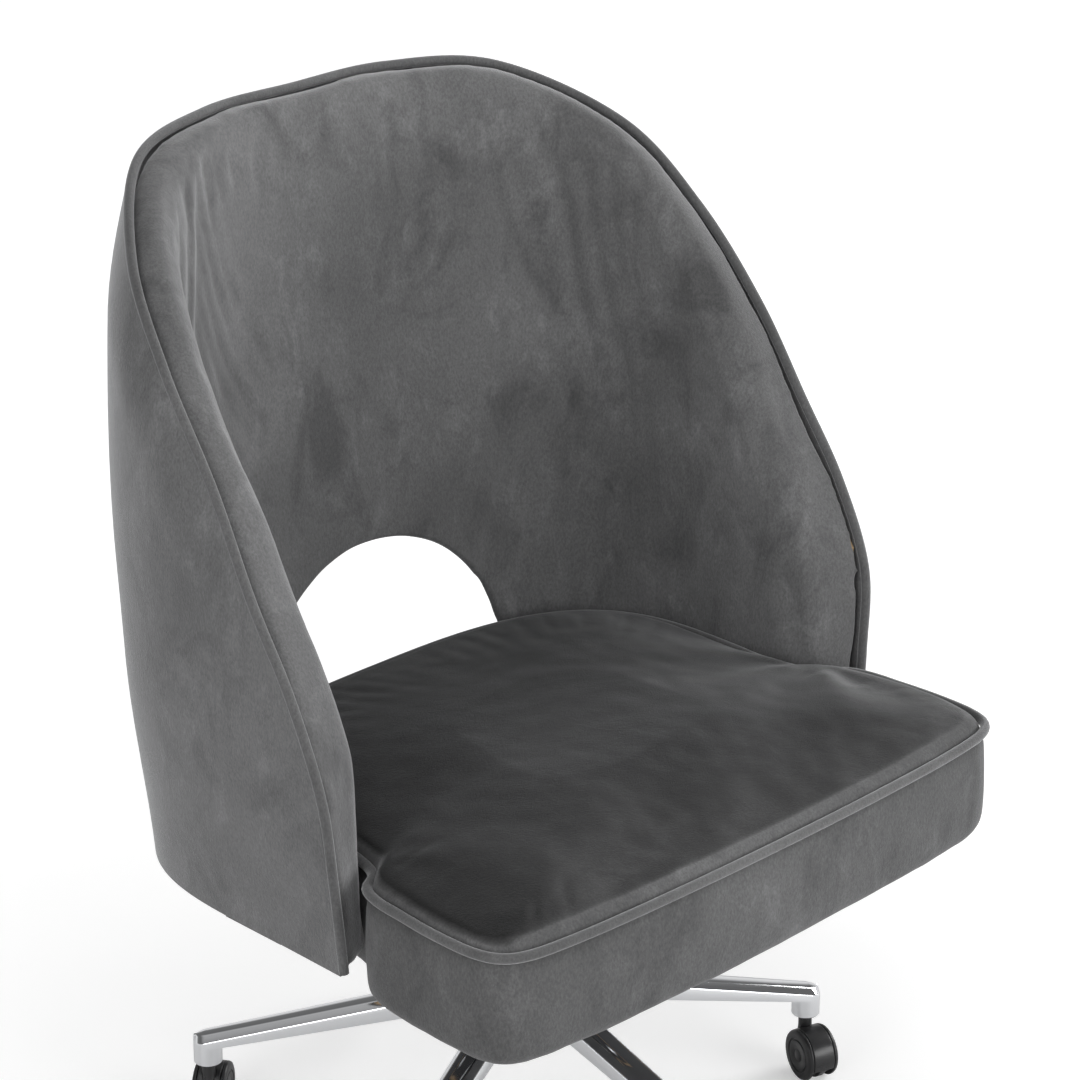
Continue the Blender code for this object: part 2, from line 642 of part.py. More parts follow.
def rim_parameter(share):
    """The rim parameter at a share of the way, by length, from the top centre to the bend."""
    steps = 120
    lengths = [0.0]
    for i in range(steps):
        a = catmull_rom(RIM_POINTS, RIM_BEND * i / steps)
        b = catmull_rom(RIM_POINTS, RIM_BEND * (i + 1) / steps)
        lengths.append(lengths[-1] + (b - a).length)
    target = share * lengths[-1]
    for i in range(steps):
        if lengths[i + 1] >= target:
            return RIM_BEND * (i + (target - lengths[i]) / (lengths[i + 1] - lengths[i])) / steps
    return float(RIM_BEND)


def rim_gap(point):
    """How far the plain surface has to move, level, to pass just outside the welt."""
    q, size = plan_q(point), outer_size(point.z)
    return Vector((point.x, point.y, 0.0)) + WELT_STANDS_IN * plan_normal(q, size) - plan_point(q, size)


def shell_place(u, v):
    """Plan parameter, height and the level shift that brings the plain surface out to the welt.

    u runs from 0 at the middle to 1 at the front edge and v from the bottom to the top. The top edge of this
    four-sided patch is the welt down to its bend, and its front edge is the welt below the bend.
    """
    last = len(RIM_POINTS) - 1
    top = catmull_rom(RIM_POINTS, rim_parameter(u))
    front = catmull_rom(RIM_POINTS, blend(last, RIM_BEND, v))
    corner = catmull_rom(RIM_POINTS, RIM_BEND)
    foot = catmull_rom(RIM_POINTS, last)
    q = blend(plan_q(foot) * u, plan_q(top), v)
    z = blend(SHELL_BOTTOM, top.z, v)
    near_top = max(0.0, 1.0 - (1.0 - v) * (top.z - SHELL_BOTTOM) / 0.07) ** 2
    near_front = max(0.0, 1.0 - (1.0 - u) * 4.0) ** 2
    shift = near_top * rim_gap(top) + near_front * (rim_gap(front) - near_top * rim_gap(corner))
    return q, z, shift


def mirrored(flat, z, u):
    return Vector((math.copysign(flat.x, u) if u else flat.x, flat.y, z))


def shell_point(u, v, depth):
    """A point of the shell's outer surface, moved inwards by depth."""
    q, z, shift = shell_place(abs(u), v)
    size = outer_size(z)
    return mirrored(plan_point(q, size) + shift - depth * plan_normal(q, size), z, u)


def pad_point(u, v):
    """A point of the pad's inner face, which rolls round to the welt in a broad nose."""
    q, z, shift = shell_place(abs(u), v)
    outer = plan_point(q, outer_size(z)) + shift
    inner = plan_point(q, inner_size(z))
    top_z = catmull_rom(RIM_POINTS, rim_parameter(abs(u))).z
    to_top = (1.0 - v) * (top_z - SHELL_BOTTOM)
    to_front = (1.0 - abs(u)) * 0.55
    near = min(min(to_top, to_front) / NOSE_ROLL, 1.0)
    roll = NOSE_SHARE + (1.0 - NOSE_SHARE) * math.sqrt(1.0 - (1.0 - near) ** 2)
    return mirrored(outer.lerp(inner, roll), z, u)


def crowd(t, strength):
    """Bring evenly spaced values of 0 to 1 closer together towards 1."""
    return t + strength * math.sin(math.pi * t) / math.pi


def grid(place, rim_trim=0.0, rim_share=0.0, crowding=0.0):
    """A sheet over the whole shell.

    Its edge at the welt can be drawn back along the rows, by a distance square to the edge or by a share of
    the row.
    """

    def located(across, up):
        across, up = min(max(across, -1.0), 1.0), min(max(up, 0.0), 1.0)
        return place(math.copysign(crowd(abs(across), crowding), across), crowd(up, crowding))

    bm = bmesh.new()
    bmesh.ops.create_grid(bm, x_segments=COLUMNS, y_segments=ROWS, size=1.0)
    for vert in bm.verts:
        across, up = vert.co.x, vert.co.y * 0.5 + 0.5
        here = located(across, up)
        moved = here.copy()
        step = 0.02
        edges = []
        if abs(across) > 0.999:
            inner = located(across * (1.0 - 2.0 / COLUMNS), up)
            edges.append((inner, located(across, up + step) - located(across, up - step)))
        if up > 0.999:
            inner = located(across, up - 1.0 / ROWS)
            edges.append((inner, located(across + step, up) - located(across - step, up)))
        for inner, tangent in edges:
            row = inner - here
            square = row - row.project(tangent)
            moved += row * max(rim_trim / square.length, rim_share)
        vert.co = moved
    return bm


def arch_cutter(parent):
    """Half-round opening through the foot of the back, flat at its base and wider towards the outside."""
    steps = 20
    near, far = 0.10, 0.40
    outline = []
    for i in range(steps + 1):
        angle = math.pi * i / steps
        c, s = math.cos(angle), math.sin(angle)
        x = math.copysign(abs(c) ** (2.0 / ARCH_POWER), c) * ARCH_HALF_WIDTH
        outline.append((x, ARCH_CENTRE_Z + abs(s) ** (2.0 / ARCH_POWER) * ARCH_HEIGHT))
    mesh = prism_mesh("arch", outline, near, far, "XZ")
    for vert in mesh.vertices:
        scale = 1.0 + ARCH_FLARE * (vert.co.y - ARCH_PLANE_Y)
        vert.co.x *= scale
        vert.co.z = ARCH_CENTRE_Z + scale * (vert.co.z - ARCH_CENTRE_Z)
    return add_cutter("arch_opening", mesh, parent)


def faces_out(mesh):
    return sum(face.normal.x * face.center.x + face.normal.y * face.center.y for face in mesh.polygons) > 0.0


def build_shell(parent):
    arch = arch_cutter(parent)
    for name, depth, thickness, trim, share, material in (
        ("outer_back_cover", 0.0, COVER_THICKNESS, 0.0054, 0.0, FABRIC),
        ("shell_frame", FRAME_DEPTH, FRAME_THICKNESS, 0.0, 0.8, WOOD),
    ):
        mesh = finish_mesh(name, grid(lambda u, v: shell_point(u, v, depth), trim, share))
        if not faces_out(mesh):
            mesh.flip_normals()
        item = add_object(name, mesh, material, parent)
        solid = item.modifiers.new("thickness", "SOLIDIFY")
        solid.thickness = thickness
        solid.offset = -1.0
        boolean(item, arch, "DIFFERENCE")
    boolean(build_pad(parent), arch, "DIFFERENCE")


def build_pad(parent):
    """Foam pad: a sheet against the shell frame and one towards the sitter, bridged round the edge."""

    def back(u, v):
        return shell_point(u, v, blend(PAD_DEPTH, PAD_RIM_DEPTH, smooth_step(0.955, 1.0, max(abs(u), v))))

    bm = grid(back)
    front = grid(pad_point, crowding=0.4)
    scratch = bpy.data.meshes.new("pad_front")
    front.to_mesh(scratch)
    front.free()
    bm.from_mesh(scratch)
    bpy.data.meshes.remove(scratch)
    open_edges = [edge for edge in bm.edges if len(edge.link_faces) == 1]
    bmesh.ops.bridge_loops(bm, edges=open_edges)
    return add_object("inner_back_pad", finish_mesh("inner_back_pad", bm, 50.0), FABRIC, parent)


def build_shell_piping(parent):
    last = len(RIM_POINTS) - 1
    half = [catmull_rom(RIM_POINTS, last * i / 34) for i in range(35)]
    points = [Vector((-p.x, p.y, p.z)) for p in half[:0:-1]] + half
    tube_object("back_piping", points, PIPING_RADIUS, FABRIC, parent)


# ---------------------------------------------------------------- seat
def seat_outline(inset=0.0):
    """Plan of the seat: full width in front of the wings, narrower where it slides between them."""
    half = list(SEAT_FRONT_PLAN)
    for i in range(14):
        point = plan_point(blend(1.12, 0.0, i / 13), SEAT_REAR_PLAN)
        half.append((point.x, point.y))
    return inset_outline(half + [(-x, y) for x, y in half[-2:0:-1]], inset)


def inset_outline(points, inset):
    """Move a closed outline inwards by a distance, along the bisector at each point."""
    moved = []
    count = len(points)
    for i in range(count):
        before, here, after = (Vector(points[k % count]) for k in (i - 1, i, i + 1))
        normal = ((here - before).normalized() + (after - here).normalized()).normalized()
        moved.append((here.x - inset * normal.y, here.y + inset * normal.x))
    return moved


def drawn_in(points, distance):
    """Scale a seat outline towards the seat's middle, so that its side edges move in by about a distance."""
    share = 1.0 - distance / SEAT_REAR_PLAN[0]
    return [(x * share, SEAT_MIDDLE_Y + (y - SEAT_MIDDLE_Y) * share) for x, y in points]


def loft_rings(name, rings):
    """Close a stack of outlines with equal point counts into one solid with flat ends."""
    bm = bmesh.new()
    loops = [[bm.verts.new((x, y, z)) for x, y in outline] for outline, z in rings]
    for low, high in zip(loops, loops[1:]):
        for i in range(len(low)):
            j = (i + 1) % len(low)
            bm.faces.new((low[i], low[j], high[j], high[i]))
    bm.faces.new(loops[0])
    bm.faces.new(loops[-1])
    return finish_mesh(name, bm, 50.0)


def build_seat(parent):
    rings = []
    for inset, z in (
        (0.014, SEAT_BOTTOM),
        (0.005, SEAT_BOTTOM + 0.004),
        (0.000, SEAT_BOTTOM + 0.013),
        (-0.001, SEAT_BOTTOM + 0.035),
        (0.001, SEAT_SEAM_Z - 0.0055),
        (0.0055, SEAT_SEAM_Z - 0.0048),
        (0.0055, SEAT_SEAM_Z + 0.0048),
    ):
        rings.append((seat_outline(inset), z))
    for distance, z in (
        (0.0125, SEAT_SEAM_Z + 0.011),
        (0.0325, SEAT_SEAM_Z + 0.018),
        (0.0545, SEAT_CROWN - 0.002),
    ):
        rings.append((drawn_in(seat_outline(0.0055), distance), z))
    add_object("seat_cushion", loft_rings("seat_cushion", rings), FABRIC, parent)
    welt = [Vector((x, y, SEAT_SEAM_Z)) for x, y in seat_outline(0.0005)]
    tube_object("seat_piping", welt, SEAT_PIPING_RADIUS, FABRIC, parent, cyclic=True)
    board = prism_mesh("seat_board", seat_outline(0.022), BOARD_BOTTOM, BOARD_TOP)
    add_object("seat_board", board, WOOD, parent)


def build_dust_cover(parent):
    """Thin cloth stapled under the board, cut out round the mechanism and the straps."""
    cloth = prism_mesh("dust_cover", seat_outline(0.028), DUST_COVER_BOTTOM, BOARD_BOTTOM - GAP)
    item = add_object("dust_cover", cloth, BLACK_CLOTH, parent)
    plate_room = box_mesh("plate_room", (-0.099, -0.109, 0.30), (0.099, 0.089, 0.34))
    boolean(item, add_cutter("dust_cover_cut_out", plate_room, parent), "DIFFERENCE")


def bent_strap_outline(reach, start):
    """Section of a flat steel strap: under the board, up past its edge and out under the shell."""
    t = STRAP_THICKNESS
    low, high = DUST_COVER_BOTTOM - GAP - t, SHELL_BOTTOM - GAP - t
    bend = STRAP_RISE_FROM
    points = [(start, low), (bend + t, low), (bend + t, high), (bend + reach, high), (bend + reach, high + t)]
    return points + [(bend, high + t), (bend, low + t), (start, low + t)]


def build_straps(parent):
    """Two side straps and a rear one tie the shell to the underside of the seat board."""
    side = bent_strap_outline(0.0490, 0.197)
    for name, sign in (("left_shell_strap", 1), ("right_shell_strap", -1)):
        outline = [(sign * x, z) for x, z in side]
        add_object(name, prism_mesh(name, outline, -0.035, 0.035, "XZ"), BLACK_STEEL, parent)
    back = [(y - 0.0730, z) for y, z in bent_strap_outline(0.0415, 0.197)]
    add_object("rear_shell_strap", prism_mesh("rear_shell_strap", back, -0.040, 0.040, "YZ"), BLACK_STEEL, parent)


def build_plate_bolts(tilt):
    """Four hexagon bolts under the mechanism plate; their shanks end in the seat board."""
    head_top = PLATE_BOTTOM - PIVOT_Z - GAP
    number = 0
    for x in (-0.080, 0.080):
        for y in (-0.088, 0.068):
            number += 1
            bolt = cylinder_mesh("plate_bolt", 0.0065, head_top - 0.0045, head_top, 6)
            bolt.transform(Matrix.Translation((x, y - PIVOT_Y, 0.0)))
            add_object(f"plate_bolt_{number}", bolt, STEEL, tilt)


def build_tension_knob(tilt, knob_axis):
    """Bolt that hangs from the top plate, with the knurled knob on its lower end."""
    nut = PLATE_BOTTOM - GAP
    bolt = [(0.0, PLATE_BOTTOM + PLATE_THICKNESS), (BOLT_RADIUS, PLATE_BOTTOM + PLATE_THICKNESS)]
    bolt += [(BOLT_RADIUS, nut), (0.0075, nut), (0.0075, nut - 0.0040), (BOLT_RADIUS, nut - 0.0040)]
    bolt += [(BOLT_RADIUS, KNOB_BOTTOM + 0.004), (0.0, KNOB_BOTTOM + 0.004)]
    place = Matrix.Translation((0.0, BOLT_Y - PIVOT_Y, -PIVOT_Z))
    turned("tension_bolt", bolt, STEEL, tilt, 16, matrix=place)
    bm = bmesh.new()
    bmesh.ops.create_cone(
        bm,
        cap_ends=True,
        segments=36,
        radius1=KNOB_RADIUS * 0.90,
        radius2=KNOB_RADIUS,
        depth=KNOB_TOP - KNOB_BOTTOM,
        matrix=Matrix.Translation((0.0, 0.0, (KNOB_TOP + KNOB_BOTTOM) / 2)),
    )
    for vert in bm.verts:
        angle = math.atan2(vert.co.y, vert.co.x)
        scale = 1.0 + 0.045 * math.cos(12.0 * angle)
        vert.co.x *= scale
        vert.co.y *= scale
    knob = add_object("tension_knob", finish_mesh("tension_knob", bm), BLACK_PLASTIC, knob_axis)
    bore = cylinder_mesh("knob_bore", BOLT_RADIUS + GAP, KNOB_BOTTOM + 0.0030, KNOB_TOP + 0.01, 16)
    boolean(knob, add_cutter("knob_bore", bore, knob_axis), "DIFFERENCE")


def build_lever(lift, lever_axis):
    """Height lever: a bent rod with a boss on its pin and a flat paddle grip, drawn about its pivot."""
    x0 = LEVER_PIVOT_X
    route = ((0.007, 0.0), (-0.020, 0.0), (-0.050, 0.0), (-0.062, -0.002), (-0.082, -0.014), (-0.094, -0.016))
    points = [Vector((x - x0, 0.0, z)) for x, z in (*route, (-0.150, -0.016))]
    lever = tube_object("height_lever", points, LEVER_RADIUS, STEEL, lever_axis)
    boss = cylinder_mesh("lever_boss", 0.0042, -0.0042, 0.0042, 16, "Y")
    boolean(lever, add_cutter("lever_boss", boss, lever_axis), "UNION")
    hole = cylinder_mesh("lever_hole", LEVER_PIN_RADIUS + RUNNING_GAP, -0.01, 0.01, 12, "Y")
    boolean(lever, add_cutter("lever_hole", hole, lever_axis), "DIFFERENCE")
    pin = cylinder_mesh("lever_pin", LEVER_PIN_RADIUS, -0.0086, 0.0086, 12, "Y")
    pin.transform(Matrix.Translation((x0, 0.0, LEVER_Z)))
    add_object("lever_pin", pin, STEEL, lift)
    paddle = box_mesh("lever_grip", (-0.190 - x0, -0.011, -0.0205), (-0.118 - x0, 0.011, -0.0115), 0.0030)
    grip = add_object("lever_grip", paddle, BLACK_PLASTIC, lever_axis)
    bore = cylinder_mesh("grip_bore", LEVER_RADIUS + GAP, -0.160 - x0, -0.080 - x0, 16, "X")
    bore.transform(Matrix.Translation((0.0, 0.0, -0.016)))
    boolean(grip, add_cutter("grip_bore", bore, lever_axis), "DIFFERENCE")


# ---------------------------------------------------------------- assembly
clear_scene()
PARTS = make_collection("swivel_office_chair")
CUTTERS = make_collection("cutters")
CHROME = make_material("polished_chrome", (0.80, 0.81, 0.83), 0.06, 1.0)
STEEL = make_material("plain_steel", (0.55, 0.56, 0.58), 0.30, 1.0)
SPRING_STEEL = make_material("spring_steel", (0.30, 0.30, 0.32), 0.35, 1.0)
BLACK_STEEL = make_material("black_steel", (0.02, 0.02, 0.022), 0.45, 0.0)
BRASS = make_material("bearing_brass", (0.72, 0.55, 0.25), 0.30, 1.0)
BLACK_PLASTIC = make_material("black_plastic", (0.02, 0.02, 0.02), 0.45)
CASTER_PLASTIC = make_material("caster_plastic", (0.025, 0.025, 0.027), 0.38)
WHEEL_PLASTIC = make_material("wheel_plastic", (0.018, 0.018, 0.020), 0.42)
FABRIC = make_material("grey_velvet", (0.115, 0.115, 0.118), 0.85)
WOOD = make_material("moulded_plywood", (0.42, 0.28, 0.15), 0.60)
BLACK_CLOTH = make_material("black_lining", (0.015, 0.015, 0.015), 0.95)

chair = make_empty("chair_axis", (0.0, COLUMN_Y, 0.0))
swivel_axis = make_empty("seat_swivel_axis", (0.0, 0.0, 0.0), chair)
lift_axis = make_empty("seat_lift_axis", (0.0, 0.0, 0.0), swivel_axis)
tilt_axis = make_empty("tilt_axis", (0.0, PIVOT_Y, PIVOT_Z), lift_axis)
tilt_frame = make_empty("tilt_frame", (0.0, -PIVOT_Y, -PIVOT_Z), tilt_axis)
knob_axis = make_empty("tension_knob_axis", (0.0, BOLT_Y - PIVOT_Y, -PIVOT_Z), tilt_axis)
lever_axis = make_empty("lever_axis", (LEVER_PIVOT_X, 0.0, LEVER_Z), lift_axis)
build_star_base(chair)
build_casters(chair)
build_column(chair, swivel_axis, lift_axis)
build_release_button(lift_axis)
build_tilt_mechanism(lift_axis, tilt_axis)
build_top_plate(tilt_axis)
build_shell(tilt_frame)
build_shell_piping(tilt_frame)
build_seat(tilt_frame)
build_dust_cover(tilt_frame)
build_straps(tilt_frame)
build_plate_bolts(tilt_axis)
build_tension_knob(tilt_axis, knob_axis)
build_lever(lift_axis, lever_axis)
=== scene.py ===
"""Visual model of the swivel office chair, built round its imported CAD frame.

Metres, +Z up; the sitter faces -Y. The upholstery, casters, star base and lift are rebuilt here at a finer
resolution in the place of their CAD solids, and the hidden steel parts keep their CAD shape.
"""
import math

import bmesh
import bpy
from mathutils import Matrix, Vector, kdtree, noise
from mathutils.bvhtree import BVHTree


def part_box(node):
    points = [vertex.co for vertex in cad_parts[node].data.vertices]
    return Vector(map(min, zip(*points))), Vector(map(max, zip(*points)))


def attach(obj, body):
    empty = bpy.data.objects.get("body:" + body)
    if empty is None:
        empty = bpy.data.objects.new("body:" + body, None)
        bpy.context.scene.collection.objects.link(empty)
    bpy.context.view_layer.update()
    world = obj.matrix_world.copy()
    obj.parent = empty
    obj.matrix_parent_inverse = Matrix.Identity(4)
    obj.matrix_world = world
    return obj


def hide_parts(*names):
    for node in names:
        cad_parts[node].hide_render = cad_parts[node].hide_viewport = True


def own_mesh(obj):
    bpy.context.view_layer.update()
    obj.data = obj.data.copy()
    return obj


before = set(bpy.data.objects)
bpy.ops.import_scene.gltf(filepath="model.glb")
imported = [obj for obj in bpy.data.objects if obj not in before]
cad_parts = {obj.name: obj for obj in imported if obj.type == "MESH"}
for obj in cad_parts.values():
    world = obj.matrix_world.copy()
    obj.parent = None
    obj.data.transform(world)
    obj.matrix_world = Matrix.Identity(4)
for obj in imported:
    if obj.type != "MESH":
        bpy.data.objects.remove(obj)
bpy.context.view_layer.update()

# ---- dimensions shared with the CAD model
COLUMN = Vector((0.0, 0.0093, 0.0))
LEG_COUNT = 5
LEG_PITCH = 2.0 * math.pi / LEG_COUNT
FIRST_LEG = -math.pi / 2
STEM_REACH = 0.300
CASTER_TRAIL = 0.014
WHEEL_RADIUS = 0.025
AXLE_Z = WHEEL_RADIUS * math.cos(math.pi / 20)
SHELL_BOTTOM = 0.352
WELT_RADIUS = 0.0044
WELT_STANDS_IN = 0.0040
SEAT_SEAM_Z = 0.4240
SEAT_BOTTOM = 0.3345
SKIRT_BOTTOM = 0.3226  # the cover wraps down over the edge of the seat board
SEAT_CROWN = 0.4515
SEAT_REAR_PLAN = (0.2645, 0.1925, 3.0)
SEAT_MIDDLE_Y = -0.060
# The last three points stand a few millimetres outside the CAD's, so that the soft seat meets the wings.
SEAT_FRONT_PLAN = (
    (0.0000, -0.3050),
    (0.1000, -0.3040),
    (0.2000, -0.3005),
    (0.2620, -0.2950),
    (0.2880, -0.2885),
    (0.3025, -0.2780),
    (0.3100, -0.2620),
    (0.3130, -0.2400),
    (0.3130, -0.2050),
    (0.3105, -0.1720),
    (0.3075, -0.1400),
    (0.2985, -0.1165),
    (0.2760, -0.0985),
)
RIM_POINTS = (
    (0.000, 0.292, 0.953),
    (0.105, 0.284, 0.954),
    (0.209, 0.247, 0.942),
    (0.287, 0.163, 0.890),
    (0.315, 0.092, 0.820),
    (0.325, 0.025, 0.740),
    (0.331, -0.026, 0.659),
    (0.333, -0.072, 0.590),
    (0.333, -0.106, 0.513),
    (0.327, -0.112, 0.435),
    (0.320, -0.114, 0.354),
)
RIM_BEND = 8
ARCH_HALF_WIDTH = 0.1863
ARCH_CENTRE_Z = 0.380
ARCH_HEIGHT = 0.1675
ARCH_POWER = 2.04
ARCH_PLANE_Y = 0.209
ARCH_FLARE = 7.0

# ---- look of the soft parts
NOSE_SHARE = 0.80  # how much of the wall's thickness the flat front of the wings takes
NOSE_ROLL = 0.034
LIP_RADIUS = 0.0042  # the rolled lip of the opening in the back
LIP_HALF_ANGLE = 21.0
ARCH_LIP_SHRINK = -0.0060
PAD_VOXEL = 0.0060
SEAT_VOXEL = 0.0050
CLOTH_FRAMES = 12
CLOTH_QUALITY = 3
COVER_THICKNESS = 0.0060
PAD_DEPTH = 0.0068  # the pad's hidden side, measured in from the outside of the cover


# ---- node helpers
class Nodes:
    """A material's node tree with short ways to add and join nodes."""

    def __init__(self, name):
        self.material = bpy.data.materials.new(name)
        self.material.use_nodes = True
        self.tree = self.material.node_tree
        self.shader = self.tree.nodes["Principled BSDF"]
        self.place = self.add("ShaderNodeTexCoord").outputs["Object"]

    def add(self, kind, **settings):
        node = self.tree.nodes.new(kind)
        for key, value in settings.items():
            if key in node.inputs:
                node.inputs[key].default_value = value
            else:
                setattr(node, key, value)
        return node

    def join(self, source, target):
        self.tree.links.new(source, target)

    def constants(self, **values):
        for key, value in values.items():
            self.shader.inputs[key.replace("_", " ")].default_value = value

    def stretched(self, scale, turn=(0.0, 0.0, 0.0)):
        node = self.add("ShaderNodeMapping")
        node.inputs["Scale"].default_value = scale
        node.inputs["Rotation"].default_value = turn
        self.join(self.place, node.inputs["Vector"])
        return node.outputs["Vector"]

    def noise(self, scale, detail=2.0, roughness=0.5, vector=None, distortion=0.0):
        settings = {"Scale": scale, "Detail": detail, "Roughness": roughness, "Distortion": distortion}
        node = self.add("ShaderNodeTexNoise", **settings)
        self.join(self.place if vector is None else vector, node.inputs["Vector"])
        return node.outputs["Fac"]

    def ramp(self, value, stops):
        node = self.add("ShaderNodeValToRGB")
        elements = node.color_ramp.elements
        while len(elements) < len(stops):
            elements.new(0.5)
        for element, (position, colour) in zip(elements, stops):
            element.position = position
            element.color = (*colour, 1.0) if len(colour) == 3 else colour
        self.join(value, node.inputs["Fac"])
        return node.outputs["Color"]

    def mix(self, factor, first, second, mode="MIX"):
        node = self.add("ShaderNodeMix", data_type="RGBA", blend_type=mode)
        for key, value in (("Factor", factor), (6, first), (7, second)):
            socket = node.inputs[key]
            if isinstance(value, bpy.types.NodeSocket):
                self.join(value, socket)
            else:
                socket.default_value = value
        return node.outputs[2]

    def span(self, value, low, high, start=0.0, end=1.0):
        node = self.add("ShaderNodeMapRange")
        for key, number in (("From Min", low), ("From Max", high), ("To Min", start), ("To Max", end)):
            node.inputs[key].default_value = number
        self.join(value, node.inputs["Value"])
        return node.outputs["Result"]

    def bump(self, height, distance, strength=1.0, below=None):
        node = self.add("ShaderNodeBump", Distance=distance, Strength=strength)
        self.join(height, node.inputs["Height"])
        if below is not None:
            self.join(below, node.inputs["Normal"])
        return node.outputs["Normal"]

    def colour(self, value):
        self.join(value, self.shader.inputs["Base Color"])

    def rough(self, value):
        self.join(value, self.shader.inputs["Roughness"])

    def normal(self, value):
        self.join(value, self.shader.inputs["Normal"])


def grey(value):
    return (value, value, value * 1.01)


def velvet(name, base, top=None, brushed=1.0, sheen=0.85):
    """Short-pile velvet: cloudy pile, darker brush marks, a fine nap and a soft sheen at the edges.

    Faces that look up take the top tone, which is painted shade: it darkens them as if little light fell from
    above, and faces that tilt to the right or forwards keep more of the lit tone.
    """
    n = Nodes(name)
    clouds = n.noise(4.5, 3.0, 0.55, distortion=0.5)
    tone = n.ramp(clouds, ((0.32, grey(base * 0.80)), (0.50, grey(base)), (0.68, grey(base * 1.22))))
    if top is not None:
        # Painted shade: the more a face looks up and to the left, the more it takes the dark top tone.
        shade_facing = n.add("ShaderNodeVectorMath", operation="DOT_PRODUCT")
        n.join(n.add("ShaderNodeNewGeometry").outputs["Normal"], shade_facing.inputs[0])
        shade_facing.inputs[1].default_value = (-0.22, 0.10, 0.97)
        painted_shade_share = n.span(shade_facing.outputs["Value"], 0.82, 0.955)
        painted_shade_tone = n.ramp(clouds, ((0.32, grey(top * 0.80)), (0.50, grey(top)), (0.68, grey(top * 1.25))))
        tone = n.mix(painted_shade_share, tone, painted_shade_tone)
    patches = n.noise(15.0, 7.0, 0.66, n.stretched((1.0, 1.0, 0.6), (0.2, 0.3, 0.0)), 0.9)
    tone = n.mix(n.span(patches, 0.50, 0.70, 0.0, 0.60 * brushed), tone, (0.42, 0.42, 0.425, 1.0), "MULTIPLY")
    rubbed = n.noise(26.0, 8.0, 0.72, n.stretched((1.0, 1.0, 0.7), (0.5, 0.1, 0.7)), 0.5)
    tone = n.mix(n.span(rubbed, 0.52, 0.74, 0.0, 0.55 * brushed), tone, (1.75, 1.75, 1.76, 1.0), "MULTIPLY")
    nap = n.noise(520.0, 4.0, 0.75, n.stretched((1.0, 1.0, 0.55), (0.0, 0.4, 0.3)))
    tone = n.mix(n.span(nap, 0.36, 0.64, 0.0, 0.62), tone, (0.46, 0.46, 0.465, 1.0), "MULTIPLY")
    n.colour(tone)
    n.rough(n.span(patches, 0.3, 0.7, 0.92, 0.78))
    fine = n.bump(nap, 0.0007, 0.6)
    n.normal(n.bump(rubbed, 0.0012, 0.35, fine))
    n.constants(Sheen_Weight=sheen, Sheen_Roughness=0.42, Specular_IOR_Level=0.16)
    n.shader.inputs["Sheen Tint"].default_value = (0.86, 0.865, 0.88, 1.0)
    return n.material


def metal(name, colour, low, high, scratch=0.25, bump=0.00002):
    """Bare or plated metal: faint smears in the gloss, and hairlines."""
    n = Nodes(name)
    smears = n.noise(22.0, 4.0, 0.6)
    lines = n.noise(260.0, 3.0, 0.7, n.stretched((1.0, 1.0, 0.06), (0.4, 0.2, 0.9)))
    n.rough(n.span(smears, 0.3, 0.7, low, high))
    dull = n.span(lines, 0.62, 0.80, 0.0, scratch)
    n.colour(n.mix(dull, (*colour, 1.0), (*[c * 0.72 for c in colour], 1.0)))
    n.normal(n.bump(lines, bump, 0.5))
    n.constants(Metallic=1.0)
    return n.material


def coated(name, colour, low, high, grain=900.0, depth=0.00008, specular=0.45):
    """Powder coat or moulded plastic: fine pebbled grain, dust in the hollows and slightly uneven gloss."""
    n = Nodes(name)
    pebbles = n.noise(grain, 2.0, 0.5)
    patches = n.noise(35.0, 4.0, 0.6)
    n.rough(n.span(patches, 0.3, 0.7, low, high))
    worn = n.span(n.noise(70.0, 6.0, 0.7), 0.60, 0.85, 0.0, 0.5)
    n.colour(n.mix(worn, (*colour, 1.0), (*[c * 1.8 + 0.004 for c in colour], 1.0)))
    n.normal(n.bump(pebbles, depth, 0.6))
    n.constants(Specular_IOR_Level=specular)
    return n.material


def plywood(name):
    """Moulded plywood with long grain."""
    n = Nodes(name)
    grain = n.noise(9.0, 6.0, 0.65, n.stretched((0.25, 4.0, 4.0)), 0.8)
    stops = ((0.30, (0.30, 0.19, 0.10)), (0.52, (0.45, 0.31, 0.17)), (0.72, (0.56, 0.41, 0.25)))
    n.colour(n.ramp(grain, stops))
    n.rough(n.span(grain, 0.3, 0.7, 0.50, 0.72))
    n.normal(n.bump(grain, 0.0003, 0.5))
    return n.material


def lining(name):
    """Dark grey non-woven under-cloth with its pressed dot pattern."""
    n = Nodes(name)
    dots = n.add("ShaderNodeTexVoronoi", Scale=420.0)
    n.join(n.place, dots.inputs["Vector"])
    fibres = n.noise(900.0, 4.0, 0.75)
    n.colour(n.ramp(fibres, ((0.30, (0.045, 0.045, 0.046)), (0.70, (0.075, 0.075, 0.077)))))
    n.rough(n.span(fibres, 0.3, 0.7, 0.80, 0.97))
    n.normal(n.bump(dots.outputs["Distance"], 0.0003, 0.6, n.bump(fibres, 0.0002, 0.5)))
    return n.material


VELVET = velvet("grey_velvet_pile", 0.135, None, 1.1)
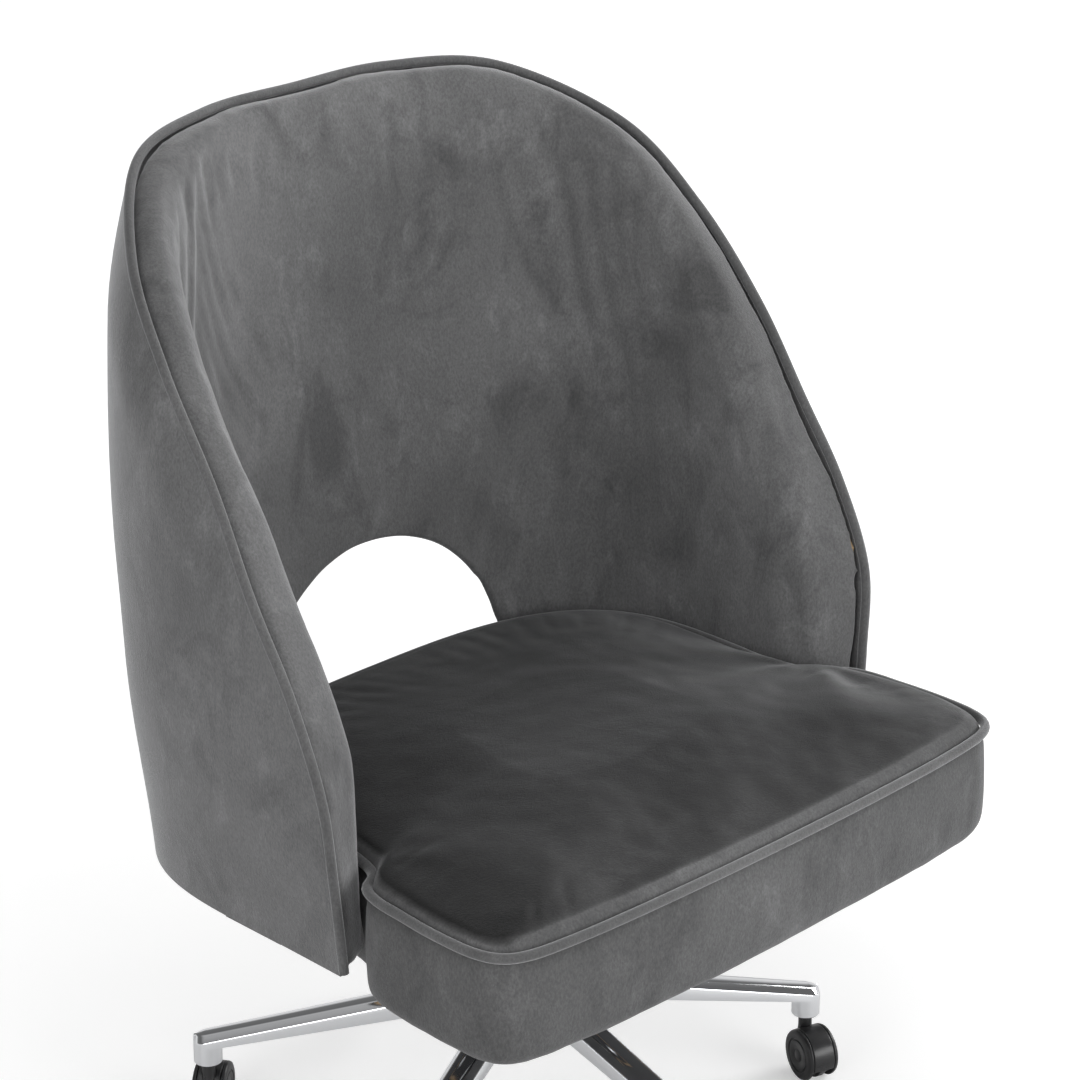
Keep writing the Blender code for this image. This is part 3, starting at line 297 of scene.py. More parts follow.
# The seat's velvet paints shade on its upward faces: they take the dark top tone of 0.015.
SEAT_VELVET_PAINTED_SHADE = velvet("grey_velvet_seat_painted_shade", 0.116, 0.015, 1.0, 0.30)
WELT_VELVET = velvet("grey_velvet_welt", 0.115, None, 0.5)
CHROME = metal("polished_chrome_plate", (0.86, 0.87, 0.89), 0.035, 0.085, 0.15, 0.000004)
STEEL = metal("zinc_steel", (0.56, 0.57, 0.58), 0.24, 0.42)
SPRING = metal("dark_spring_steel", (0.20, 0.20, 0.21), 0.30, 0.48)
BRASS = metal("sintered_brass", (0.72, 0.55, 0.25), 0.28, 0.45)
BLACK_STEEL = coated("black_powder_coat", (0.020, 0.020, 0.022), 0.38, 0.56, 1400.0, 0.00010)
BLACK_PLASTIC = coated("black_nylon", (0.020, 0.020, 0.021), 0.40, 0.58, 1100.0, 0.00006)
HOOD_PLASTIC = coated("satin_black_hood", (0.016, 0.016, 0.017), 0.24, 0.36, 2200.0, 0.00002, 0.5)
WHEEL_PLASTIC = coated("black_wheel_nylon", (0.013, 0.013, 0.014), 0.30, 0.44, 1600.0, 0.00003)
WOOD = plywood("moulded_plywood_grain")
LINING = lining("black_nonwoven_lining")
CAD_LOOKS = {
    "polished_chrome": CHROME,
    "plain_steel": STEEL,
    "spring_steel": SPRING,
    "black_steel": BLACK_STEEL,
    "bearing_brass": BRASS,
    "black_plastic": BLACK_PLASTIC,
    "caster_plastic": HOOD_PLASTIC,
    "wheel_plastic": WHEEL_PLASTIC,
    "grey_velvet": VELVET,
    "moulded_plywood": WOOD,
    "black_lining": LINING,
}


# ---- mesh helpers
def mesh_from(bm, name, smooth_deg=40.0):
    """A mesh from a bmesh, smooth but for edges sharper than the given angle."""
    bmesh.ops.recalc_face_normals(bm, faces=bm.faces[:])
    mesh = bpy.data.meshes.new(name)
    bm.to_mesh(mesh)
    bm.free()
    mesh.shade_smooth()
    mesh.set_sharp_from_angle(angle=math.radians(smooth_deg))
    return mesh


def linked(name, data):
    item = bpy.data.objects.new(name, data)
    bpy.context.scene.collection.objects.link(item)
    return item


def add_piece(name, mesh, material, slot, body, *nodes):
    """A visible piece: its finish, the body that it rides on and the CAD nodes that it stands for."""
    item = linked(name, mesh)
    mesh.materials.clear()
    mesh.materials.append(material)
    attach(item, body)
    if nodes:
        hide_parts(*nodes)
    return item


def evaluated(item):
    """The mesh of an object with its modifiers applied."""
    bpy.context.view_layer.update()
    graph = bpy.context.evaluated_depsgraph_get()
    return bpy.data.meshes.new_from_object(item.evaluated_get(graph), depsgraph=graph)


def with_modifiers(mesh, steps):
    """A mesh after a list of modifiers, each given as (type, settings)."""
    item = linked("scratch", mesh)
    for kind, settings in steps:
        modifier = item.modifiers.new(kind, kind)
        for key, value in settings.items():
            setattr(modifier, key, value)
    result = evaluated(item)
    result.name = mesh.name
    bpy.data.objects.remove(item, do_unlink=True)
    return result


def boolean_mesh(mesh, tools):
    """A mesh joined with, or cut by, (mesh, operation) tools in turn."""
    helpers, steps = [], []
    for tool, operation in tools:
        helper = linked("scratch_tool", tool)
        helpers.append(helper)
        steps.append(("BOOLEAN", {"operation": operation, "object": helper, "solver": "EXACT"}))
    result = with_modifiers(mesh, steps)
    for helper in helpers:
        bpy.data.objects.remove(helper, do_unlink=True)
    result.shade_smooth()
    result.set_sharp_from_angle(angle=math.radians(35.0))
    return result


def bridge(bm, low, high):
    """Quads between two rings of equal point counts."""
    for i in range(len(low)):
        j = (i + 1) % len(low)
        bm.faces.new((low[i], low[j], high[j], high[i]))


def lathe_mesh(name, profile, steps=64, closed=False, smooth_deg=30.0):
    """Turn (radius, height) points round Z; an open profile starts and ends on the axis."""
    bm = bmesh.new()
    rings = []
    for radius, height in profile:
        if radius < 1e-7:
            rings.append([bm.verts.new((0.0, 0.0, height))])
            continue
        ring = []
        for i in range(steps):
            angle = 2.0 * math.pi * i / steps
            ring.append(bm.verts.new((radius * math.cos(angle), radius * math.sin(angle), height)))
        rings.append(ring)
    pairs = list(zip(rings, rings[1:]))
    if closed:
        pairs.append((rings[-1], rings[0]))
    for a, b in pairs:
        for i in range(steps):
            j = (i + 1) % steps
            if len(a) == 1:
                bm.faces.new((a[0], b[i], b[j]))
            elif len(b) == 1:
                bm.faces.new((a[i], b[0], a[j]))
            else:
                bm.faces.new((a[i], b[i], b[j], a[j]))
    return mesh_from(bm, name, smooth_deg)


def rod_mesh(name, radius, low, high, steps):
    """A plain round rod along Z."""
    return lathe_mesh(name, [(0.0, low), (radius, low), (radius, high), (0.0, high)], steps)


def rounded(points, radius, steps=4, closed=False):
    """Round the corners of an (a, b) polyline."""
    out = []
    count = len(points)
    for i, point in enumerate(points):
        here = Vector(point)
        if not closed and i in (0, count - 1):
            out.append(tuple(here))
            continue
        before, after = Vector(points[i - 1]), Vector(points[(i + 1) % count])
        reach = min(radius, (before - here).length * 0.45, (after - here).length * 0.45)
        start = here + (before - here).normalized() * reach
        end = here + (after - here).normalized() * reach
        for k in range(steps + 1):
            t = k / steps
            out.append(tuple(start.lerp(here, t).lerp(here.lerp(end, t), t)))
    return out


def tube_mesh(name, points, radius, sides=14, cyclic=False):
    """A round tube along points, with domed ends where it is open."""
    bm = bmesh.new()
    count = len(points)
    rings = []
    normal = None
    for i, point in enumerate(points):
        before = points[i - 1] if i or cyclic else point
        after = points[(i + 1) % count] if i < count - 1 or cyclic else point
        tangent = (after - before).normalized()
        if normal is None:
            normal = tangent.orthogonal().normalized()
        normal = (normal - tangent * normal.dot(tangent)).normalized()
        side = tangent.cross(normal)
        ring = []
        for k in range(sides):
            angle = 2.0 * math.pi * k / sides
            ring.append(bm.verts.new(point + radius * (math.cos(angle) * normal + math.sin(angle) * side)))
        rings.append(ring)
    for a, b in zip(rings, rings[1:]):
        bridge(bm, a, b)
    if cyclic:
        a, b = rings[-1], rings[0]
        shift = min(range(sides), key=lambda s: (a[0].co - b[s].co).length)
        for k in range(sides):
            j = (k + 1) % sides
            bm.faces.new((a[k], a[j], b[(j + shift) % sides], b[(k + shift) % sides]))
    else:
        for ring, end, inner in ((rings[0], points[0], points[1]), (rings[-1], points[-1], points[-2])):
            tip = bm.verts.new(end + (end - inner).normalized() * radius * 0.5)
            for k in range(sides):
                bm.faces.new((ring[k], ring[(k + 1) % sides], tip))
    return mesh_from(bm, name, 60.0)


def box_mesh(name, low, high, bevel=0.0, segments=3):
    bm = bmesh.new()
    bmesh.ops.create_cube(bm, size=1.0)
    low, high = Vector(low), Vector(high)
    for vert in bm.verts:
        vert.co = Vector(low[i] + (vert.co[i] + 0.5) * (high[i] - low[i]) for i in range(3))
    if bevel:
        bmesh.ops.bevel(bm, geom=bm.edges[:], offset=bevel, segments=segments, affect="EDGES", profile=0.5)
    return mesh_from(bm, name)


def joined(name, meshes):
    """Several closed meshes in one."""
    bm = bmesh.new()
    for mesh in meshes:
        bm.from_mesh(mesh)
    return mesh_from(bm, name)


def moved(mesh, matrix):
    copy = mesh.copy()
    copy.transform(matrix)
    return copy


# ---- curve helpers
def blend(a, b, t):
    return a + (b - a) * t


def smooth_step(low, high, value):
    t = min(max((value - low) / (high - low), 0.0), 1.0)
    return t * t * (3.0 - 2.0 * t)


def spline_point(p0, p1, p2, p3, f):
    bend = (2 * p0 - 5 * p1 + 4 * p2 - p3) * f**2
    return 0.5 * (2 * p1 + (p2 - p0) * f + bend + (3 * p1 - p0 - 3 * p2 + p3) * f**3)


def catmull_rom(points, t):
    i = min(int(t), len(points) - 2)
    f = t - i
    p1, p2 = Vector(points[i]), Vector(points[i + 1])
    p0 = Vector(points[i - 1]) if i > 0 else Vector((-p2.x, p2.y, p2.z))
    p3 = Vector(points[i + 2]) if i + 2 < len(points) else 2 * p2 - p1
    return spline_point(p0, p1, p2, p3, f)


def even_loop(points, spacing):
    """Points at an even spacing on a smooth closed curve through the given ones."""
    count = len(points)
    fine = []
    for i in range(count):
        p0, p1, p2, p3 = (Vector(points[(i + k - 1) % count]) for k in range(4))
        for step in range(6):
            f = step / 6
            fine.append(spline_point(p0, p1, p2, p3, f))
    lengths = [0.0]
    for i in range(len(fine)):
        lengths.append(lengths[-1] + (fine[(i + 1) % len(fine)] - fine[i]).length)
    number = round(lengths[-1] / spacing)
    out, i = [], 0
    for k in range(number):
        target = lengths[-1] * k / number
        while lengths[i + 1] < target:
            i += 1
        t = (target - lengths[i]) / max(lengths[i + 1] - lengths[i], 1e-9)
        out.append(fine[i].lerp(fine[(i + 1) % len(fine)], t))
    return out


# ---- back shell surface
def rim_table():
    steps = 400
    lengths = [0.0]
    for i in range(steps):
        a = catmull_rom(RIM_POINTS, RIM_BEND * i / steps)
        b = catmull_rom(RIM_POINTS, RIM_BEND * (i + 1) / steps)
        lengths.append(lengths[-1] + (b - a).length)
    return lengths


RIM_LENGTHS = rim_table()


def rim_parameter(share):
    """The rim parameter at a share of the way, by length, from the top centre to the bend."""
    steps = len(RIM_LENGTHS) - 1
    target = share * RIM_LENGTHS[-1]
    low, high = 0, steps
    while high - low > 1:
        middle = (low + high) // 2
        if RIM_LENGTHS[middle] <= target:
            low = middle
        else:
            high = middle
    return RIM_BEND * (low + (target - RIM_LENGTHS[low]) / (RIM_LENGTHS[low + 1] - RIM_LENGTHS[low])) / steps


def outer_size(z):
    """Half width, depth and superellipse power of the cover's plan at a height."""
    tuck = 1.0 - smooth_step(0.30, 0.54, z)
    depth = blend(0.250, 0.304, smooth_step(0.36, 1.04, z))
    return 0.3385 - 0.018 * tuck, depth - 0.008 * tuck, blend(3.15, 2.43, smooth_step(0.62, 0.97, z))


def inner_size(z):
    rise = smooth_step(0.42, 0.94, z)
    return blend(0.2720, 0.2850, rise), blend(0.2000, 0.2600, rise), blend(3.0, 2.5, rise)


def plan_point(q, size):
    """A point of the plan at q: 0 at the middle of the back, 1 at the side, past 1 straight forwards."""
    half_width, depth, power = size
    if abs(q) > 1.0:
        return Vector((math.copysign(half_width, q), -(abs(q) - 1.0) * half_width * math.pi / 2, 0.0))
    angle = q * math.pi / 2
    s, c = math.sin(angle), math.cos(angle)
    reach = (abs(s / half_width) ** power + abs(c / depth) ** power) ** (-1.0 / power)
    return Vector((reach * s, reach * c, 0.0))


def plan_normal(q, size):
    step = plan_point(q + 0.01, size) - plan_point(q - 0.01, size)
    return Vector((-step.y, step.x, 0.0)).normalized()


def plan_q(point):
    half_width = outer_size(point.z)[0]
    if point.y < 0.0:
        return 1.0 - point.y / (half_width * math.pi / 2)
    return math.atan2(point.x, point.y) / (math.pi / 2)


def rim_gap(point):
    q, size = plan_q(point), outer_size(point.z)
    return Vector((point.x, point.y, 0.0)) + WELT_STANDS_IN * plan_normal(q, size) - plan_point(q, size)


def shell_place(u, v):
    """Plan parameter, height and level shift at u (0 middle to 1 front edge) and v (0 bottom to 1 top)."""
    last = len(RIM_POINTS) - 1
    top = catmull_rom(RIM_POINTS, rim_parameter(u))
    front = catmull_rom(RIM_POINTS, blend(last, RIM_BEND, v))
    corner = catmull_rom(RIM_POINTS, RIM_BEND)
    foot = catmull_rom(RIM_POINTS, last)
    q = blend(plan_q(foot) * u, plan_q(top), v)
    z = blend(SHELL_BOTTOM, top.z, v)
    near_top = max(0.0, 1.0 - (1.0 - v) * (top.z - SHELL_BOTTOM) / 0.07) ** 2
    near_front = max(0.0, 1.0 - (1.0 - u) * 4.0) ** 2
    shift = near_top * rim_gap(top) + near_front * (rim_gap(front) - near_top * rim_gap(corner))
    return q, z, shift, top.z


def shell_point(u, v, depth):
    q, z, shift, _ = shell_place(abs(u), v)
    size = outer_size(z)
    flat = plan_point(q, size) + shift - depth * plan_normal(q, size)
    return COLUMN + Vector((math.copysign(flat.x, u) if u else flat.x, flat.y, z))


def pad_point(u, v):
    """A point of the pad's inner face, which rolls round to the welt in a broad nose."""
    q, z, shift, top_z = shell_place(abs(u), v)
    outer = plan_point(q, outer_size(z)) + shift
    inner = plan_point(q, inner_size(z))
    near = min(min((1.0 - v) * (top_z - SHELL_BOTTOM), (1.0 - abs(u)) * 0.55) / NOSE_ROLL, 1.0)
    roll = NOSE_SHARE + (1.0 - NOSE_SHARE) * math.sqrt(1.0 - (1.0 - near) ** 2)
    flat = outer.lerp(inner, roll)
    return COLUMN + Vector((math.copysign(flat.x, u) if u else flat.x, flat.y, z))


def crowd(t, strength):
    return t + strength * math.sin(math.pi * t) / math.pi


def double_sheet(name, outside, inside, columns, rows, crowding):
    """A closed body between two sheets over the whole shell."""
    bm = bmesh.new()
    layers = []
    for place in (outside, inside):
        layer = []
        for i in range(columns + 1):
            across = 2.0 * i / columns - 1.0
            u = math.copysign(crowd(abs(across), crowding), across)
            layer.append([bm.verts.new(place(u, crowd(j / rows, crowding))) for j in range(rows + 1)])
        layers.append(layer)
    for layer in layers:
        for i in range(columns):
            for j in range(rows):
                bm.faces.new((layer[i][j], layer[i + 1][j], layer[i + 1][j + 1], layer[i][j + 1]))
    edge = [(i, 0) for i in range(columns)] + [(columns, j) for j in range(rows)]
    edge += [(i, rows) for i in range(columns, 0, -1)] + [(0, j) for j in range(rows, 0, -1)]
    for (i, j), (k, m) in zip(edge, edge[1:] + edge[:1]):
        bm.faces.new((layers[0][i][j], layers[0][k][m], layers[1][k][m], layers[1][i][j]))
    return mesh_from(bm, name)


def arch_outline(grow, steps=96):
    """(x, z) of the opening's edge at its stated size, round the arch and back along its flat base."""
    half_width, height = ARCH_HALF_WIDTH + grow, ARCH_HEIGHT + grow
    outline = []
    for i in range(steps + 1):
        angle = math.pi * i / steps
        c, s = math.cos(angle), math.sin(angle)
        x = math.copysign(abs(c) ** (2.0 / ARCH_POWER), c) * half_width
        outline.append((x, ARCH_CENTRE_Z - grow + abs(s) ** (2.0 / ARCH_POWER) * height))
    for i in range(1, 24):
        outline.append((-half_width + 2.0 * half_width * i / 24, ARCH_CENTRE_Z - grow))
    return outline


def arch_place(x, z, y):
    """Where the opening's edge through (x, z) has got to at depth y: it widens towards the outside."""
    scale = 1.0 + ARCH_FLARE * (y - ARCH_PLANE_Y)
    return COLUMN + Vector((x * scale, y, ARCH_CENTRE_Z + scale * (z - ARCH_CENTRE_Z)))


def arch_mesh():
    """The arched opening through the foot of the back, as a cutter."""
    bm = bmesh.new()
    rings = [[bm.verts.new(arch_place(x, z, y)) for x, z in arch_outline(0.0)] for y in (0.10, 0.42)]
    close_rings(bm, rings)
    return mesh_from(bm, "arch_cutter")


def close_rings(bm, rings, cyclic=False):
    """Faces between rings of equal point counts, with a cap at each end or a join of last to first."""
    pairs = list(zip(rings, rings[1:]))
    if cyclic:
        pairs.append((rings[-1], rings[0]))
    else:
        bm.faces.new(rings[0])
        bm.faces.new(rings[-1])
    for a, b in pairs:
        bridge(bm, a, b)


def ray_tree(mesh):
    places = [vert.co.copy() for vert in mesh.vertices]
    return BVHTree.FromPolygons(places, [tuple(face.vertices) for face in mesh.polygons])


def rolled_arch_mesh(body):
    """A cutter for the pad's opening that leaves its lip rolled over, all round the arch."""
    tree = ray_tree(body)
    outline = arch_outline(ARCH_LIP_SHRINK)
    count = len(outline)
    half_angle = math.radians(LIP_HALF_ANGLE)
    reach = LIP_RADIUS / math.tan(half_angle)
    centre = Vector((LIP_RADIUS / math.sin(half_angle), 0.0))
    centre = Vector((centre.x * math.cos(half_angle), centre.x * math.sin(half_angle)))
    profile = [(reach + 0.004, -0.030), (reach + 0.004, -0.004), (reach, 0.0)]
    for k in range(1, 10):
        angle = -math.pi / 2 - (math.pi - 2.0 * half_angle) * k / 9
        profile.append((centre.x + LIP_RADIUS * math.cos(angle), centre.y + LIP_RADIUS * math.sin(angle)))
    out = Vector((math.cos(2.0 * half_angle), math.sin(2.0 * half_angle)))
    profile += [tuple(out * 0.03), tuple(out * 0.16)]
    bm = bmesh.new()
    rings = [[] for _ in profile]
    for i, (x, z) in enumerate(outline):
        before, after = outline[i - 1], outline[(i + 1) % count]
        along = Vector((after[0] - before[0], after[1] - before[1])).normalized()
        outward = Vector((along.y, -along.x))
        start = arch_place(x, z, 0.09)
        hit = tree.ray_cast(start, (arch_place(x, z, 0.3) - start).normalized())[0]
        for ring, (offset, depth) in zip(rings, profile):
            spot = Vector((hit.x + outward.x * offset, -0.2, hit.z + outward.y * offset))
            near = tree.ray_cast(spot, Vector((0.0, 1.0, 0.0)))[0] if offset < 0.05 else None
            face_y = near.y if near is not None else hit.y
            ring.append(bm.verts.new(Vector((spot.x, face_y + depth, spot.z))))
    close_rings(bm, rings)
    return mesh_from(bm, "rolled_arch_cutter")


def arch_lining(cover):
    """A velvet band along the opening's outer edge, over the shell's plywood."""
    tree = ray_tree(cover)
    corners = [(0.0006, 0.0), (0.0006, 0.0014), (0.026, 0.0018), (0.026, -0.0012)]
    section = rounded(corners, 0.0006, 2, closed=True)
    loops = []
    for x, z in arch_outline(0.0):
        far, near = arch_place(x, z, 0.40), arch_place(x, z, 0.12)
        inward = (near - far).normalized()
        hit = tree.ray_cast(far, inward)[0]
        middle = COLUMN + Vector((0.0, hit.y, ARCH_CENTRE_Z + 0.4 * ARCH_HEIGHT))
        centre = (middle - hit).normalized()
        loops.append([hit + inward * depth + centre * over for depth, over in section])
    bm = bmesh.new()
    rings = [[bm.verts.new(point) for point in loop] for loop in loops]
    close_rings(bm, rings, cyclic=True)
    return mesh_from(bm, "arch_lining", 60.0)


def welt_path():
    """The piping's route: up one wing's front edge, over the top and down the other."""
    last = len(RIM_POINTS) - 1
    steps = 170
    half = [catmull_rom(RIM_POINTS, last * i / steps) for i in range(steps + 1)]
    return [COLUMN + Vector((-p.x, p.y, p.z)) for p in half[:0:-1]] + [COLUMN + p for p in half]


# ---- soft-body helpers
def tree_of(points):
    tree = kdtree.KDTree(len(points))
    for i, point in enumerate(points):
        tree.insert(point, i)
    tree.balance()
    return tree


def closeness(tree, low, high):
    """1 within low of the tree's points, falling to 0 at high."""
    return lambda co: 1.0 - smooth_step(low, high, tree.find(co)[2])


def inflate(mesh, voxel, hold, pressure, cap, smoothing):
    """Remesh a stuffed piece evenly, blow it up as cloth where hold allows, and limit how far it moves."""
    even = ("REMESH", {"mode": "VOXEL", "voxel_size": voxel})
    smooth = ("SMOOTH", {"factor": 0.5, "iterations": smoothing})
    mesh = with_modifiers(mesh, [even, smooth])
    start = [vert.co.copy() for vert in mesh.vertices]
    item = linked("scratch_cloth", mesh)
    group = item.vertex_groups.new(name="held")
    for index, co in enumerate(start):
        group.add([index], hold(co), "REPLACE")
    cloth = item.modifiers.new("cloth", "CLOTH")
    settings = cloth.settings
    settings.quality = CLOTH_QUALITY
    settings.mass = 0.35
    settings.tension_stiffness = 18.0
    settings.compression_stiffness = 14.0
    settings.shear_stiffness = 8.0
    settings.bending_stiffness = 1.2
    settings.vertex_group_mass = "held"
    settings.use_pressure = True
    settings.uniform_pressure_force = pressure
    settings.effector_weights.gravity = 0.0
    cloth.point_cache.frame_start = 1
    cloth.point_cache.frame_end = CLOTH_FRAMES
    scene = bpy.context.scene
    for step in range(1, CLOTH_FRAMES + 1):
        scene.frame_set(step)
    result = evaluated(item)
    bpy.data.objects.remove(item, do_unlink=True)
    scene.frame_set(1)
    for vert, first in zip(result.vertices, start):
        shift = vert.co - first
        if shift.length > cap:
            vert.co = first + shift * (cap / shift.length)
    result.name = mesh.name
    return result


def shaped(mesh, moves):
    """Move each vertex along its normal by the sum of the given functions of place and normal."""
    normals = [vert.normal.copy() for vert in mesh.vertices]
    for vert, normal in zip(mesh.vertices, normals):
        vert.co = vert.co + normal * sum(move(vert.co, normal) for move in moves)
    mesh.update()
    return mesh


def refined(mesh, levels=1):
    name = mesh.name
    mesh = with_modifiers(mesh, [("SUBSURF", {"levels": levels, "render_levels": levels})])
    mesh.name = name
    mesh.shade_smooth()
    return mesh


def crease(tree, depth, width):
    """A seam's pull: the surface dips by depth beside the tree's points."""
    return lambda co, normal: -depth * math.exp(-((tree.find(co)[2] / width) ** 2))


def unevenness(amount, scale, seed):
    shift = Vector((seed, seed * 2.0, seed * 3.0))
    return lambda co, normal: amount * noise.noise(co * scale + shift)


# ---- back
def build_back():
    """Outer cover, the lining of its opening, the piping, and the stuffed pad inside."""
    welt = welt_path()
    welt_tree = tree_of(welt)

    def cover_outside(u, v):
        return shell_point(u, v, 0.0)

    def cover_inside(u, v):
        return shell_point(u, v, COVER_THICKNESS)

    def pad_outside(u, v):
        return shell_point(u, v, PAD_DEPTH)

    sheet = double_sheet("cover", cover_outside, cover_inside, 150, 60, 0.0)
    lining = arch_lining(sheet)
    cover = boolean_mesh(sheet, [(arch_mesh(), "DIFFERENCE")])
    add_piece("back_cover", cover, VELVET, "grey_velvet", "tilt", "outer_back_cover")
    add_piece("back_arch_lining", lining, VELVET, "grey_velvet", "tilt")
    piping = tube_mesh("back_welt", welt, WELT_RADIUS, 16)
    add_piece("back_welt", piping, WELT_VELVET, "grey_velvet", "tilt", "back_piping")
    pad = double_sheet("pad", pad_outside, pad_point, 140, 56, 0.35)
    outside_tree = tree_of([pad_outside(i / 60.0 - 1.0, j / 40.0) for i in range(121) for j in range(41)])
    backed, by_welt = closeness(outside_tree, 0.020, 0.034), closeness(welt_tree, 0.010, 0.030)
    pad = inflate(pad, PAD_VOXEL, lambda co: max(backed(co), by_welt(co)), 3.0, 0.007, 6)
    moves = [crease(welt_tree, 0.0030, 0.0085), unevenness(0.0016, 9.0, 3.0), unevenness(0.0005, 34.0, 5.0)]
    pad = refined(shaped(pad, moves))
    pad = boolean_mesh(pad, [(rolled_arch_mesh(pad), "DIFFERENCE")])
    item = add_piece("back_pad", pad, VELVET, "grey_velvet", "tilt", "inner_back_pad")


# ---- seat
def seat_corners():
    """Corner points of the seat's outline: its own front, then the curve that fits inside the shell."""
    half = list(SEAT_FRONT_PLAN)
    for i in range(14):
        point = plan_point(blend(1.12, 0.0, i / 13), SEAT_REAR_PLAN)
        half.append((point.x, point.y))
    return half + [(-x, y) for x, y in half[-2:0:-1]]


def drawn_in(points, distance):
    """Scale a seat outline towards the seat's middle, so that its side edges move in by about a distance."""
    share = 1.0 - distance / SEAT_REAR_PLAN[0]
    return [Vector((p.x * share, SEAT_MIDDLE_Y + (p.y - SEAT_MIDDLE_Y) * share, 0.0)) for p in points]


def inset_loop(points, inset):
    """A closed outline moved inwards by a distance, square to itself."""
    moved_points = []
    count = len(points)
    for i in range(count):
        before, here, after = points[i - 1], points[i], points[(i + 1) % count]
        along = ((here - before).normalized() + (after - here).normalized()).normalized()
        moved_points.append(here + inset * Vector((-along.y, along.x, 0.0)))
    return moved_points


def seat_loop(spacing=0.006):
    corners = [Vector((x, y, 0.0)) for x, y in seat_corners()]
    return even_loop(corners, spacing)


def stacked(name, rings):
    """A closed body through outlines with equal point counts."""
    bm = bmesh.new()
    loops = [[bm.verts.new(COLUMN + Vector((p.x, p.y, z))) for p in outline] for outline, z in rings]
    for low, high in zip(loops, loops[1:]):
        bridge(bm, low, high)
    bm.faces.new(loops[0])
    bm.faces.new(loops[-1])
    return mesh_from(bm, name)


def board_room():
    """A cutter a little larger than the seat board, open downwards."""
    bm = bmesh.new()
    bm.from_mesh(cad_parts["seat_board"].data)
    bmesh.ops.remove_doubles(bm, verts=bm.verts[:], dist=0.00001)
    low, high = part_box("seat_board")
    middle = (low + high) / 2
    for vert in bm.verts:
        vert.co.x = middle.x + 1.003 * (vert.co.x - middle.x)
        vert.co.y = middle.y + 1.003 * (vert.co.y - middle.y)
        vert.co.z = SEAT_BOTTOM if vert.co.z > middle.z else 0.300
    return mesh_from(bm, "board_room")


def build_seat():
    """The stuffed cushion with its skirt round the seat board, and the piping along its top seam."""
    loop = seat_loop()
    rings = [
        (inset_loop(loop, 0.014), SKIRT_BOTTOM),
        (inset_loop(loop, 0.006), SKIRT_BOTTOM + 0.0025),
        (inset_loop(loop, 0.001), SKIRT_BOTTOM + 0.0105),
        (inset_loop(loop, -0.0005), SKIRT_BOTTOM + 0.040),
        (inset_loop(loop, 0.002), SEAT_SEAM_Z - 0.002),
        (inset_loop(loop, 0.004), SEAT_SEAM_Z + 0.003),
        (drawn_in(loop, 0.016), SEAT_SEAM_Z + 0.0115),
        (drawn_in(loop, 0.036), SEAT_SEAM_Z + 0.0175),
        (drawn_in(loop, 0.062), SEAT_SEAM_Z + 0.0215),
        (drawn_in(loop, 0.110), SEAT_CROWN - 0.003),
    ]
    seam = [COLUMN + Vector((p.x, p.y, SEAT_SEAM_Z)) for p in inset_loop(loop, 0.0022)]
    seam_tree = tree_of(seam)
    by_seam = closeness(seam_tree, 0.008, 0.028)

    def hold(co):
        return max(by_seam(co), 1.0 - smooth_step(SKIRT_BOTTOM + 0.006, SKIRT_BOTTOM + 0.022, co.z))

    cushion = inflate(stacked("cushion", rings), SEAT_VOXEL, hold, 4.0, 0.009, 4)

    def corner_folds(co, normal):
        """Soft folds that run from the pinch beside each wing towards the middle of the seat."""
        if normal.z < 0.5:
            return 0.0
        pinch = COLUMN + Vector((math.copysign(0.275, co.x), -0.105, co.z))
        away = co - pinch
        distance = away.length
        angle = math.atan2(away.y, -away.x * math.copysign(1.0, co.x))
        fade = smooth_step(0.012, 0.05, distance) * (1.0 - smooth_step(0.10, 0.22, distance))
        strength = 0.0014 if co.x > 0.0 else 0.0005
        return strength * fade * math.sin(angle * 7.0 + 0.6 + 9.0 * distance)

    moves = [crease(seam_tree, 0.0032, 0.0090), unevenness(0.0014, 11.0, 7.0)]
    moves += [unevenness(0.0005, 40.0, 9.0), corner_folds]
    cushion = refined(shaped(cushion, moves))
    cushion = boolean_mesh(cushion, [(board_room(), "DIFFERENCE")])
    item = add_piece("seat_pad", cushion, SEAT_VELVET_PAINTED_SHADE, "grey_velvet", "tilt", "seat_cushion")
    welt = tube_mesh("seat_welt", seam, WELT_RADIUS, 16, cyclic=True)
    add_piece("seat_welt", welt, WELT_VELVET, "grey_velvet", "tilt", "seat_piping")


# ---- star base
def leg_section(width, top, bottom):
    """Cross-section of a leg: flat sides, broad bevelled shoulders and a slightly domed roof."""
    corners = [(width, bottom), (width, top - 0.0068), (width - 0.0062, top - 0.0008), (0.0, top)]
    right = [(width - 0.0012, bottom), (width - 0.0003, bottom + 0.0003), (width, bottom + 0.0012)]
    right += rounded(corners, 0.0012, 3)[1:]
    return right + [(-x, z) for x, z in right[-2::-1]]


def leg_mesh():
    stations = []
    for k in range(9):
        reach = blend(0.010, STEM_REACH, k / 8)
        width = blend(0.0162, 0.0135, (reach - 0.008) / (STEM_REACH - 0.008))
        stations.append((reach, width))
    for k in range(1, 13):
        angle = math.radians(7.2 * k)
        stations.append((STEM_REACH + 0.0135 * math.sin(angle), 0.0135 * math.cos(angle)))
    bm = bmesh.new()
    loops = []
    for reach, width in stations:
        out = STEM_REACH - min(reach, STEM_REACH)
        past = max(0.0, reach - STEM_REACH)
        top = 0.0925 + 0.32 * out - 0.25 * past - 6.0 * past**2
        bottom = 0.078 + 0.28 * out
        shape = max(width, 0.0070)
        section = [(x * width / shape, z) for x, z in leg_section(shape, top, bottom)]
        loops.append([bm.verts.new((reach, x, z)) for x, z in section])
    for near, far in zip(loops, loops[1:]):
        bridge(bm, near, far)
    bm.faces.new(loops[0])
    bm.faces.new(loops[-1])
    return mesh_from(bm, "leg")


